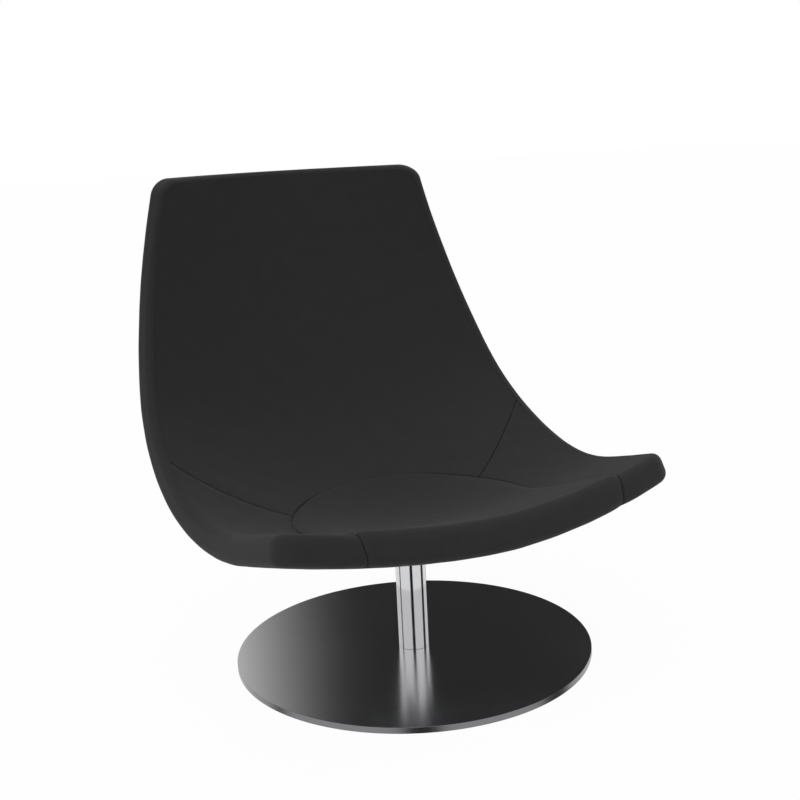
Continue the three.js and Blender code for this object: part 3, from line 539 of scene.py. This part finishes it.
seam_roll, seam_draw, valley_depth, valley_reach, turned_in = 0.0029, 1.8, 0.0016, 0.012, 0.004
gather_depth, gather_length, gather_reach, flush_roll = 0.0003, 0.023, 0.007, 0.0004
far_off, batch = 9.0, 20


def ditch(distance, roll=seam_roll, valley=valley_depth):
    """Depth next to a seam: a drawn-out quarter round, and a valley that fades as exp(-d)."""
    inside = 1 - np.clip(distance / roll, 0, 1)
    rolled = seam_draw * roll * (1 - np.sqrt(1 - inside**2))
    return rolled + valley * np.exp(-distance / valley_reach)


def nearest_on(line, place, x):
    """Each spot's distance from a line, the shortest over its pieces, and the run there."""
    a, b = line[:-1], line[1:]
    lengths = np.linalg.norm(b - a, axis=1)
    runs = np.cumsum(lengths) - lengths
    spot = np.stack([place.ravel(), x.ravel()], -1)
    nearest, run_there = np.full(len(spot), far_off), np.zeros(len(spot))
    for start in range(0, len(a), batch):
        part = slice(start, start + batch)
        run, reach = b[part] - a[part], spot[:, None] - a[part]
        share = np.einsum("nkc,kc->nk", reach, run) / np.maximum((run**2).sum(1), 1e-12)
        share = np.clip(share, 0, 1)
        gap = np.sqrt(((reach - share[..., None] * run) ** 2).sum(-1))
        closest = gap.argmin(1)[:, None]
        along_it = np.take_along_axis(runs[part] + share * lengths[part], closest, 1)[:, 0]
        closest = np.take_along_axis(gap, closest, 1)[:, 0]
        run_there = np.where(closest < nearest, along_it, run_there)
        nearest = np.minimum(nearest, closest)
    return nearest.reshape(place.shape), run_there.reshape(place.shape)


def distance_to(line, place, x):
    """Distance of each spot from a line of spots."""
    return nearest_on(line, place, x)[0]


def sewn(line, place, x):
    """Depth next to a sewn line: the ditch, and the stitches' gathers, which fade as exp(-d)."""
    distance, run = nearest_on(line, place, x)
    gathers = np.sin(2 * np.pi * run / gather_length) * np.exp(-distance / gather_reach)
    return ditch(distance) + gather_depth * np.clip(distance / seam_roll, 0, 1) * gathers


def seam_steps(length, step):
    """Shares along a length: fine steps next to a seam at both ends, even steps between."""
    fine = np.array([0, 0.0003, 0.0008, 0.0014, 0.0022, 0.0035, 0.0055, 0.008])
    middle = np.linspace(fine[-1], length - fine[-1], max(int(length / step), 2) + 1)
    return np.concatenate([fine[:-1], middle, length - fine[-2::-1]]) / length


def run_along(line):
    """The run from a line's start to each of its spots."""
    return np.concatenate([[0], np.cumsum(np.linalg.norm(np.diff(line, axis=0), axis=1))])


def along(line, shares):
    """Spots at shares of the length of a line of spots."""
    run = run_along(line)
    return np.stack([np.interp(shares * run[-1], run, line[:, k]) for k in (0, 1)], -1)


def filled(bottom, top, left, right, across, up):
    """A Coons patch between four lines: rows plus columns less the blend of the corners."""
    b, t, l, r = along(bottom, across), along(top, across), along(left, up), along(right, up)
    u, v = across[None, :, None], up[:, None, None]
    rows = (1 - v) * b[None] + v * t[None]
    columns = (1 - u) * l[:, None] + u * r[:, None]
    corners = (1 - v) * ((1 - u) * b[0] + u * b[-1]) + v * ((1 - u) * t[0] + u * t[-1])
    spots = rows + columns - corners
    return spots[..., 0], spots[..., 1]


def mirror(line):
    """A line of spots on the other side of the middle, run the other way."""
    return line[::-1] * np.array([1, -1])


# Rim: the padding rounds over at the edge, on both faces by about a third of the shell's thickness.
# A band of cloth runs round it and takes up the panels of both faces.

inner_rim_share, outer_rim_share, plywood_inset = 0.33, 0.34, 0.018


def outline(kind, values, inset):
    """Spots along a part of the outline, drawn in by an inset.

    An edge goes by x, a corner by angle and a side by place.
    """
    if kind == "front":
        place, x = inset + 0 * values, values
    elif kind == "front_corner":
        place = front_corner - (front_corner - inset) * np.cos(values)
        x = half_width(place) - front_corner + (front_corner - inset) * np.sin(values)
    elif kind == "side":
        place, x = values, half_width(values) - inset
    elif kind == "top_corner":
        place = shell_length - top_corner + (top_corner - inset) * np.sin(values)
        x = half_width(place) - top_corner + (top_corner - inset) * np.cos(values)
    else:
        place, x = shell_length - inset + 0 * values, values
    return np.stack([place, x], -1)


def rim_line(*parts):
    """Spots where the face panels meet the border: the outline, less the inner round's radius."""
    radii = [inner_rim_share * thickness(*outline(*part, plywood_inset).T) for part in parts]
    return np.concatenate([outline(*part, radius) for part, radius in zip(parts, radii)])


front_corner_x = float(half_width(0.0)) - front_corner
top_corner_x = float(half_width(shell_length)) - top_corner
quarter = np.pi / 4


# Seat pad: a foam tongue under its own cloth panel, raised about 8 mm and rolled at its edges, and
# thinner towards its rear. The panel runs over the front rim and down to the seam underneath.

pad_half_width, pad_round_place, pad_round_length = 0.210, 0.268, 0.196
pad_flare, pad_raise, pad_crown, pad_roll, pad_rear_roll = 0.024, 0.007, 0.002, 0.015, 0.050
pad_front_share, pad_front_run = 0.65, 0.080
pad_front_place, front_seam_lean = plywood_inset, 0.016
thins_from, thins_over, rear_share = 0.17, 0.28, 0.12
flat_start, flat_ramp, flat_half_width, flat_side_ramp = 0.55, 0.40, 0.178, 0.045
flat_seam_share = 0.08
pad_step, rim_cloth, cloth_start = 0.0045, 0.025, 0.02


def pad_side_x(place):
    """Half the pad's width before its round: straight, plus a flare that grows as a square."""
    return pad_half_width + pad_flare * ((pad_round_place - place) / pad_round_place) ** 2


def pad_round(angle):
    """The pad's rear edge: half an ellipse, by angle from the right."""
    place = pad_round_place + pad_round_length * np.sin(angle)
    return np.stack([place, pad_half_width * np.cos(angle)], -1)


pad_front_x = float(pad_side_x(pad_front_place))
straight = np.linspace(pad_front_place, pad_round_place, 80)
pad_straight = np.stack([straight, pad_side_x(straight)], -1)
pad_right = np.concatenate([pad_straight, pad_round(np.linspace(0, quarter, 40)[1:])])
pad_left = pad_right * np.array([1, -1])
pad_rear = pad_round(np.linspace(3 * quarter, quarter, 90))
pad_seam = np.concatenate([pad_right, pad_rear[::-1], pad_left[::-1]])
pad_front = np.stack([np.full(60, pad_front_place), np.linspace(-pad_front_x, pad_front_x, 60)], -1)


def smooth(share):
    """A smooth step from 0 to 1: 3 s squared less 2 s cubed."""
    share = np.clip(share, 0, 1)
    return share * share * (3 - 2 * share)


def lies_flat(place, x):
    """0 up to the slanting seams, 1 round the pad's rear, where it runs on into the back."""
    far = ((place - pad_round_place) / pad_round_length - flat_start) / flat_ramp
    return smooth(far) * smooth((flat_half_width - np.abs(x)) / flat_side_ramp)


def seam_share(place, x):
    """How much of its depth a seam keeps: all of it, but little round the pad's rear."""
    return 1 - (1 - flat_seam_share) * lies_flat(place, x)


def pad_height(distance, place, x):
    """The pad's height: a quarter round that widens rearwards, times its raise and a low crown.

    The crown falls off as x squared. The height grows from the front and falls towards the rear.
    """
    rearward = np.clip((place - pad_front_run) / (pad_round_place - pad_front_run), 0, 1)
    inside = np.clip(distance / (pad_roll + (pad_rear_roll - pad_roll) * rearward), 0, 1)
    front = pad_front_share + (1 - pad_front_share) * smooth(place / pad_front_run)
    rear = 1 - (1 - rear_share) * smooth((place - thins_from) / thins_over)
    crown = pad_crown * (1 - (x / pad_side_x(np.minimum(place, pad_round_place))) ** 2)
    return front * rear * np.sqrt(1 - (1 - inside) ** 2) * (pad_raise + crown)


def rim_section(turns, through_depth):
    """Inset, depth and tilt round the rim, by a turn: to 1 over it, to 2 down it, to 3 under it."""
    inner_radius, outer_radius = inner_rim_share * through_depth, outer_rim_share * through_depth
    front, rear = np.clip(turns, 0, 1) * np.pi / 2, np.clip(turns - 2, 0, 1) * np.pi / 2
    wall = np.clip(turns - 1, 0, 1)
    top_depth = inner_radius * (1 - np.cos(front))
    low_depth = through_depth - outer_radius * (1 - np.sin(rear))
    first = turns < 2
    inset = np.where(first, inner_radius * (1 - np.sin(front)), outer_radius * (1 - np.cos(rear)))
    depth = np.where(first, top_depth + wall * (low_depth - top_depth), low_depth)
    down = np.where(first, np.cos(front), -np.sin(rear))
    return inset, depth, down, np.where(first, np.sin(front), np.cos(rear))


across = seam_steps(2 * pad_front_x, pad_step)
up = seam_steps(run_along(pad_right)[-1], pad_step)
face_place, face_x = filled(pad_front, pad_rear, pad_left, pad_right, across, up)
face_distance = distance_to(pad_seam, face_place, face_x)
face_height = pad_height(face_distance, face_place, face_x)
face_sewn = sewn(pad_seam, face_place, face_x) * seam_share(face_place, face_x)
edge_x = along(pad_front, across)[:, 1]
edge_place = 0 * edge_x + pad_front_place
front_radius = inner_rim_share * thickness(edge_place, edge_x)
front_rows = np.linspace(edge_place, front_radius, 4)[1:]
edge_distance = pad_front_x - np.abs(edge_x)
edge_height = pad_height(edge_distance, edge_place, edge_x)
rim_turn = np.repeat(np.linspace(0, 3, 25)[1:, None], len(edge_x), 1)
rim_x = edge_x * (1 - front_seam_lean / pad_front_x * rim_turn / 3)
rim_thickness = thickness(0 * rim_x + pad_front_place, rim_x)
rim_inset, rim_depth, rim_down, rim_inwards = rim_section(rim_turn, rim_thickness)


def pad_rows(inwards, raised=1.0):
    """Place, x and depth of the pad's spots, from the seam underneath to the rear seam."""
    near_rear = np.abs(rim_turn - 3) * outer_rim_share * front_thickness * np.pi / 2
    groove = np.maximum(ditch(edge_distance)[None] + 0 * rim_x, ditch(near_rear, valley=0.0))
    lift = raised * edge_height[None]
    place = rim_inset + (inwards + groove) * rim_inwards
    depth = rim_depth + (inwards + groove) * rim_down - lift * np.clip(rim_down, 0, 1)
    flat_depth = inwards + ditch(edge_distance)[None] - lift + 0 * front_rows
    face_depth = inwards + face_sewn - raised * face_height
    rows = [
        (place[::-1], rim_x[::-1], depth[::-1]),
        (front_rows[::-1], np.repeat(edge_x[None], len(front_rows), 0), flat_depth[::-1]),
        (face_place, face_x, face_depth),
    ]
    return [np.concatenate(parts) for parts in zip(*rows)]


def cloth_panel(name, outer, inner, node, uv=None, kept=None):
    """A cloth panel between its two sheets. Its free edges are turned in by a seam allowance."""
    place, x, depth = inner
    allowance = np.zeros(place.shape)
    if kept is None:
        allowance[[0, -1]] = allowance[:, [0, -1]] = turned_in
    sunk = depth + np.where(depth < mid_depth, allowance, -allowance)
    closed_sheet(name, outer, (place, x, sunk), node, wool, uv, kept)


pad_outer, pad_inner = pad_rows(0.0), pad_rows(cloth_thickness)
pad_run = np.concatenate([-rim_cloth * rim_turn[::-1], front_rows[::-1], face_place]) - cloth_start
pad_uv = np.stack([pad_outer[1], pad_run], -1)
cloth_panel("seat_pad_cloth", pad_outer, pad_inner, "cover_seat_pad", pad_uv)


# Wings: a panel on each side of the pad, from the front edge back to a slanting seam that runs up
# to the rim. The left one is the right one's mirror image.

diagonal_rim_place, diagonal_start, diagonal_sag = 0.521, np.radians(30.2), 0.012
junction = pad_round(diagonal_start)
diagonal_end = rim_line(("side", np.array([diagonal_rim_place])))[0]
diagonal_middle = (junction + diagonal_end) / 2 + diagonal_sag * np.array([-1, 1])
t = np.linspace(0, 1, 60)[:, None]
diagonal = (1 - t) ** 2 * junction + 2 * t * (1 - t) * diagonal_middle + t**2 * diagonal_end
wing_inner = np.concatenate([
    [[front_radius[-1], pad_front_x]],
    pad_straight,
    pad_round(np.linspace(0, diagonal_start, 30)[1:]),
])
wing_front = rim_line(
    ("front", np.linspace(pad_front_x, front_corner_x, 30)),
    ("front_corner", np.linspace(0, quarter, 12)[1:]),
)
wing_outer = rim_line(
    ("front_corner", np.linspace(quarter, np.pi / 2, 12)),
    ("side", np.linspace(front_corner, diagonal_rim_place, 120)[1:]),
)
across = seam_steps(run_along(diagonal)[-1], pad_step)
up = seam_steps(run_along(wing_inner)[-1], pad_step)
place, x = filled(wing_front, diagonal, wing_inner, wing_outer, across, up)
banded = distance_to(np.concatenate([wing_front, wing_outer]), place, x)
depth = sewn(np.concatenate([wing_inner, diagonal]), place, x) + ditch(banded, flush_roll, 0.0)
flip = (slice(None), slice(None, None, -1))


def face_panel(name, place, x, depth, node, inwards=cloth_thickness, kept=None):
    """A cloth panel whose inner sheet lies straight below its outer one."""
    outer, inner = (place, x, depth), (place, x, depth + inwards)
    cloth_panel(name, outer, inner, node, kept=kept)


face_panel("wing_cloth_right", place, x, depth, "cover_wing_right")
face_panel("wing_cloth_left", place[flip], -x[flip], depth[flip], "cover_wing_left")


# Back panel: one large panel from the slanting seams and the pad's round up to the top edge. It
# takes the whole compound curve of the back without a dart.

back_steps = 0.0055, 0.0050
back_bottom = np.concatenate([
    mirror(diagonal),
    pad_round(np.linspace(np.pi - diagonal_start, diagonal_start, 120)[1:-1]),
    diagonal,
])
back_top_right = rim_line(("top_corner", np.linspace(np.pi / 2, quarter, 12)))
back_top_middle = rim_line(("top", np.linspace(-top_corner_x, top_corner_x, 80)))
back_top = np.concatenate([mirror(back_top_right), back_top_middle, back_top_right])
back_side = rim_line(
    ("side", np.linspace(diagonal_rim_place, shell_length - top_corner, 120)),
    ("top_corner", np.linspace(0, quarter, 12)[1:]),
)
across = seam_steps(run_along(back_bottom)[-1], back_steps[0])
up = seam_steps(run_along(back_side)[-1], back_steps[1])
place, x = filled(back_bottom, back_top, mirror(back_side)[::-1], back_side, across, up)
banded = distance_to(np.concatenate([back_side, back_top[::-1], mirror(back_side)]), place, x)
depth = sewn(back_bottom, place, x) * seam_share(place, x) + ditch(banded, flush_roll, 0.0)
face_panel("back_cloth", place, x, depth, "cover_back")


# Border: a long band round the rim, from one front seam of the pad round the top to the other. Its
# front edge meets the face panels flush, and its rear edge is sewn to the rear panel.

end_run, end_step = 0.04, 0.005
ends = pad_front_x + seam_steps(end_run, end_step)[:10] * end_run
border_half = [
    ("front", np.concatenate([ends[:-1], np.linspace(ends[-1], front_corner_x, 16)])),
    ("front_corner", np.linspace(0, np.pi / 2, 22)[1:]),
    ("side", np.linspace(front_corner, shell_length - top_corner, 190)[1:]),
    ("top_corner", np.linspace(0, np.pi / 2, 22)[1:]),
    ("top", np.linspace(top_corner_x, 0, 46)[1:]),
]


def border_spots(inset):
    """Spots of the whole band: its right half with an inset per spot, then the mirror image."""
    sizes = np.cumsum([len(values) for _, values in border_half])[:-1]
    insets = np.split(inset, sizes)
    right = np.concatenate([outline(*part, share) for part, share in zip(border_half, insets)])
    return np.concatenate([right, mirror(right)[1:]])


lean_run, band_cloth = 0.12, 0.02
half_count = sum(len(values) for _, values in border_half)
border_base = border_spots(np.full(half_count, plywood_inset))
border_through = thickness(border_base[:, 0], border_base[:, 1])
run = run_along(border_base)
from_end = np.minimum(run, run[-1] - run)
lean = front_seam_lean * (1 - np.clip(from_end / lean_run, 0, 1)) ** 2
border_turns = np.concatenate([
    [0, 0.02, 0.05],
    np.linspace(0.12, 1, 8),
    np.linspace(1, 2, 9)[1:],
    np.linspace(2, 2.9, 8)[1:],
    [2.94, 2.97, 3.0],
])


def border_rows(inwards):
    """Place, x and depth of the band, from its front edge over the rim to its rear edge."""
    rows = []
    for turn in border_turns:
        inset, depth, down, across_in = rim_section(turn + 0 * border_through, border_through)
        near_rear = (3 - turn) * outer_rim_share * border_through * np.pi / 2
        near_front = turn * inner_rim_share * border_through * np.pi / 2
        groove = np.maximum(ditch(from_end), ditch(near_rear, valley=0.0))
        sunk = inwards + groove + ditch(near_front, flush_roll, 0.0)
        place, x = border_spots((inset + sunk * across_in)[:half_count]).T
        rows.append([place, x - np.sign(x) * lean * turn / 3, depth + sunk * down])
    return np.stack(rows[::-1], 1)


border_outer, border_inner = border_rows(0.0), border_rows(cloth_thickness)
border_uv = np.stack(np.meshgrid(run, -border_turns[::-1] * band_cloth), -1)
cloth_panel("border_cloth", border_outer, border_inner, "cover_border", border_uv)


# Rear panel: one panel over the whole back and underside, sewn to the border all round and cut out
# for the wooden block under the seat plate.

def half_span(place, inset):
    """Half the outline's width at a place: the shell's, less an inset and the corners' rounds."""
    front, top = front_corner - inset, top_corner - inset
    short_front = np.clip(front - (place - inset), 0, front)
    short_top = np.clip(top - (shell_length - inset - place), 0, top)
    rounds = front - np.sqrt(front**2 - short_front**2) + top - np.sqrt(top**2 - short_top**2)
    return half_width(place) - inset - rounds


rear_steps, corner_run, block_half, block_top = (0.0052, 0.0060), 0.018, 0.062, 0.3
rear_valley = 0.0006
corner_rows = (1 - np.cos(np.linspace(0, np.pi / 2, 12))) * corner_run / shell_length
share = seam_steps(shell_length, rear_steps[0])
share = np.unique(np.concatenate([share, corner_rows, 1 - corner_rows]))
side_share = 2 * seam_steps(2 * shell_half_width, rear_steps[1]) - 1
front_inset, top_inset = outer_rim_share * front_thickness, outer_rim_share * top_thickness
row_inset = front_inset + (top_inset - front_inset) * share
row_place = front_inset + (shell_length - front_inset - top_inset) * share
place = np.repeat(row_place[:, None], len(side_share), 1)
row_span = half_span(row_place, row_inset)
x = row_span[:, None] * side_share[None]
side = np.stack([row_place, row_span], -1)
edge = np.concatenate([side, mirror(side), side[:1]])
outer = thickness(place, x) - ditch(distance_to(edge, place, x), valley=rear_valley)
under = shell_point(place, x, outer)
middle = (under[:-1, :-1] + under[1:, 1:]) / 2
kept = (np.abs(middle[..., :2]).max(-1) >= block_half) | (middle[..., 2] >= block_top)
place, x, outer, kept = place[flip], x[flip], outer[flip], kept[flip]
face_panel("rear_cloth", place, x, outer, "cover_rear", -cloth_thickness, kept)


# Foams: upholstery foam glued on both faces of the plywood, a strip round its edge, and the tongue
# that raises the seat pad. They lie wholly under the cloth, 0.35 mm below it for the glue.

foam, tree, shader = new_material("upholstery_foam", (0.69, 0.62, 0.36), 0.95)
cells = placed_group(tree, fibre_fuzz, Fibre_scale=900.0, Drift_scale=12.0)
two_tones(tree, shader, cells.outputs["Shade"], (0.60, 0.52, 0.28), (0.74, 0.68, 0.42))
raised_by(tree, shader, cells.outputs["Height"], 0.8, 0.0008)

glue, plywood_thickness, front_share = 0.00035, 0.007, 0.4
trough_reach, trough_depth, front_reach, least_foam = 0.022, 0.0075, 0.016, 0.0005
edge_band, foam_steps, strip_gap = 0.012, (0.008, 0.010), 0.0012
under_cloth = cloth_thickness + glue


def pressed(distance):
    """How far the foam is pressed in under a seam: a smooth trough wider than the allowances."""
    return trough_depth * smooth(1 - distance / trough_reach)


def rounded_edge(distance, radius):
    """How far a face drops at a distance from the outline: a quarter round of the radius."""
    return radius - np.sqrt(radius**2 - (radius - np.clip(distance, 0, radius)) ** 2)


def layer_spots(inset, along_step, across_step):
    """A grid over the outline drawn in by an inset, finer near its edge, and the distance to it."""
    near = inset + edge_band * (1 - np.cos(np.linspace(0, np.pi / 2, 7)))
    between = np.arange(near[-1], shell_length - near[-1], along_step)
    lengthwise = np.concatenate([near[:-1], between, (shell_length - near)[::-1]])
    spread = seam_steps(2 * shell_half_width, across_step)
    place = np.repeat(lengthwise[:, None], len(spread), 1)
    x = half_span(lengthwise, inset)[:, None] * (2 * spread - 1)[None]
    side = np.linspace(inset, shell_length - inset, 400)
    rim = np.stack([side, half_span(side, inset)], -1)
    rim = np.concatenate([rim, mirror(rim), rim[:1]])
    return place, x, distance_to(rim, place, x)


def front_notch(place, x):
    """How far the foam is pressed in at the front edge, next to the pad's two front seams."""
    seam_gap = np.abs(np.abs(x) - pad_front_x + front_seam_lean / 2)
    return pressed(seam_gap) * np.clip(1 - (place - under_cloth) / front_reach, 0, 1)


def plywood_top(place, x):
    """Depth of the plywood's upper face: a share of the shell's thickness."""
    return front_share * thickness(place, x)


def foam_layer(name, upper, lower, place, x, node, kept=None):
    """A foam between two depths, never thinner than half a millimetre."""
    upper_sheet, lower_sheet = (place, x, upper), (place, x, np.maximum(lower, upper + least_foam))
    closed_sheet(name, upper_sheet, lower_sheet, node, foam, kept=kept)


place, x, inside = layer_spots(under_cloth, *foam_steps)
place = place + front_notch(place, x)
through_depth, wood_top = thickness(place, x), plywood_top(place, x)
seam_distance = np.minimum(distance_to(pad_seam, place, x), distance_to(back_bottom, place, x))
front_round = rounded_edge(inside, inner_rim_share * through_depth - under_cloth)
upper = under_cloth + front_round + pressed(seam_distance)
foam_layer("front_padding", upper, wood_top - glue, place, x, "front_foam")

corner_x, corner_place = x[:-1, :-1], place[:-1, :-1]
near_block = (np.abs(corner_x) < block_half) & (np.abs(corner_place - low_place) < block_half)
rear_round = rounded_edge(inside, outer_rim_share * through_depth - under_cloth)
rear_seam = pressed(np.abs(inside + under_cloth - outer_rim_share * through_depth))
lower = through_depth - under_cloth - rear_round - rear_seam
upper = wood_top + plywood_thickness + glue
foam_layer("rear_padding", upper, lower, place, x, "rear_foam", ~near_block)

pad_top, pad_base = pad_rows(under_cloth), pad_rows(cloth_thickness, raised=0.0)
# The tongue starts at the foot of the rim's upper round and stops five rows short of the seams.
tongue = (slice(16, -5), slice(5, -5))
pad_top, pad_base = [[part[tongue] for part in rows] for rows in (pad_top, pad_base)]
closed_sheet("pad_filling", pad_top, pad_base, "seat_pad_foam", foam, pad_uv[tongue])

front_middle = ("front", np.linspace(0, pad_front_x, 30)[:-1])
strip_inset = under_cloth + strip_gap


def edge_ring(inset, depth_share):
    """The whole outline drawn in by an inset, at a share of the way through the plywood."""
    right = np.concatenate([outline(*part, inset) for part in [front_middle, *border_half]])
    right[:, 0] += front_notch(*right.T)
    place, x = np.concatenate([right, mirror(right)[1:-1]]).T
    return shell_point(place, x, plywood_top(place, x) + depth_share * plywood_thickness)


inner_inset = plywood_inset - glue
ring = [(inner_inset, 0.0), (inner_inset, 1.0), (strip_inset, 1.0), (strip_inset, 0.0)]
edge_padding = closed_loops("edge_padding", np.stack([edge_ring(*corner) for corner in ring]))
edge_padding.data.materials.append(foam)
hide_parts("edge_strip")
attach(edge_padding, "seat")


# Studio: a white sweep of floor and white surroundings, in which the steel mirrors four black
# flags. The soft light comes from a wide box overhead, one in front on the left, and two low ones
# that stand for the bright floor before the chair.

camera_data = bpy.data.cameras.new("camera")
camera = bpy.data.objects.new("camera", camera_data)
bpy.context.scene.collection.objects.link(camera)
bpy.context.scene.camera = camera
camera_data.sensor_width, camera_data.lens = 36.0, 54.13
camera_data.clip_end = 100.0
camera_azimuth, camera_distance, camera_height = np.radians(-29.434), 1.9219, 0.8549
yaw, pitch, roll = np.radians(-0.1156), np.radians(12.2148), np.radians(-2.7772)
level_ahead = np.array([-np.sin(camera_azimuth), np.cos(camera_azimuth), 0.0])
level_right = np.array([np.cos(camera_azimuth), np.sin(camera_azimuth), 0.0])
level_up = np.array([0, 0, 1.0])


def swung(first, second, angle):
    """Two directions at right angles, both turned: the first goes towards the second."""
    kept_share, gained = np.cos(angle), np.sin(angle)
    return kept_share * first + gained * second, kept_share * second - gained * first


aimed, to_right = swung(level_ahead, level_right, yaw)
ahead, upright = swung(aimed, level_up, -pitch)
rolled_right, rolled_up = swung(to_right, upright, roll)
place_matrix = np.eye(4)
place_matrix[:3, 0], place_matrix[:3, 1], place_matrix[:3, 2] = rolled_right, rolled_up, -ahead
place_matrix[:3, 3] = -camera_distance * level_ahead + camera_height * level_up
camera.matrix_world = Matrix(place_matrix.tolist())

floor_size, floor_glow, glow_share = 40.0, 1.01, 0.96
floor_grid = np.array([[-1, -1, 0], [1, -1, 0], [1, 1, 0], [-1, 1, 0]], float) * floor_size
floor = mesh_piece("studio_floor", floor_grid, np.array([[0, 1, 2, 3]]))
floor_paint, tree, shader = new_material("white_floor", (0.9, 0.9, 0.9), 1.0)
shader.inputs["Specular IOR Level"].default_value = 0.0
glow = wired(tree, "Emission", Strength=floor_glow)
# The camera sees nearly all glow, with a little of the lit paint that keeps the chair's shadow.
camera_ray = wired(tree, "LightPath").outputs["Is Camera Ray"]
shown = wired(tree, "Math", camera_ray, glow_share, operation="MULTIPLY")
seen = wired(tree, "MixShader", shown, shader, glow)
tree.links.new(seen.outputs["Shader"], tree.nodes["Material Output"].inputs["Surface"])
floor.data.materials.append(floor_paint)
floor.visible_glossy = False

flag_distance, flag_height, flag_steps = 2.6, 3.4, 25


def black_flag(name, left, right, faded=1.0):
    """A black card between two bearings, seen only in the steel, that fades to white at its end.

    Bearings go from the camera's side, positive to the right. The card is an arc about the origin.
    """
    bearings = np.linspace(left, right, flag_steps)
    whiteness = np.tile(np.clip((bearings - right) / faded + 1, 0, 1), 2)
    angle = camera_azimuth + np.radians(bearings)
    foot = flag_distance * np.stack([np.sin(angle), -np.cos(angle)], -1)
    level = np.ones((flag_steps, 1)) * flag_height
    rows = np.concatenate([np.hstack([foot, -level]), np.hstack([foot, level])])
    here = np.arange(flag_steps - 1)
    quads = np.stack([here, here + 1, here + flag_steps + 1, here + flag_steps], -1)
    flag = mesh_piece(name, rows, quads, np.stack([whiteness, 0 * whiteness], -1))
    flag.data.materials.append(flag_velvet)
    flag.visible_camera = flag.visible_diffuse = flag.visible_shadow = False


flag_velvet, tree, shader = new_material("flag_velvet", (0.037, 0.037, 0.037), 1.0)
shader.inputs["Specular IOR Level"].default_value = 0.0
shader.inputs["Emission Color"].default_value = (1.0, 1.0, 1.0, 1.0)
white_share = wired(tree, "UVMap")
white_share.uv_map = "cloth"
across = white_share.outputs["UV"]
squared = wired(tree, "VectorMath", across, across, operation="DOT_PRODUCT").outputs["Value"]
tree.links.new(squared, shader.inputs["Emission Strength"])
black_flag("flag_behind", 156, 200, 15.0)
black_flag("flag_left", -96, -86)
black_flag("flag_front", -8, 13)
black_flag("flag_right", 82, 105)

world = bpy.data.worlds.new("studio")
bpy.context.scene.world = world
world.use_nodes = True
tree = world.node_tree
tree.nodes.clear()
direction = wired(tree, "TexCoord").outputs["Generated"]
to_camera = (0, 0, -float(camera_azimuth))
direction = wired(tree, "Mapping", Vector=direction, Rotation=to_camera)


def combined(operation, first, second):
    """One step of arithmetic on a value and a number or a second value."""
    return wired(tree, "Math", first, second, operation=operation)


def softbox(bearing, height, level, sharpness):
    """A round light: level times the cosine of the angle from its middle to a power."""
    across, up = np.radians(bearing), np.radians(height)
    middle = (np.sin(across) * np.cos(up), -np.cos(across) * np.cos(up), np.sin(up))
    facing = wired(tree, "VectorMath", direction, middle, operation="DOT_PRODUCT").outputs["Value"]
    rounded = combined("POWER", combined("MAXIMUM", facing, 0.0), sharpness)
    return combined("MULTIPLY", rounded, level)


from_above = combined("ADD", softbox(0, 90, 2.15, 8.0), softbox(-45, 45, 1.15, 10.0))
from_below = combined("ADD", softbox(-45, -25, 4.1, 6.0), softbox(45, -25, 4.5, 6.0))
soft_light = wired(tree, "Background", Color=combined("ADD", from_above, from_below))
white = wired(tree, "Background", Color=(1.0, 1.0, 1.0, 1.0))
rays = wired(tree, "LightPath").outputs
mirrored = combined("MAXIMUM", rays["Is Glossy Ray"], rays["Is Transmission Ray"])
sees_white = combined("MAXIMUM", rays["Is Camera Ray"], mirrored)
wired(tree, "OutputWorld", Surface=wired(tree, "MixShader", sees_white, soft_light, white))

bpy.context.scene.view_settings.view_transform = "Standard"
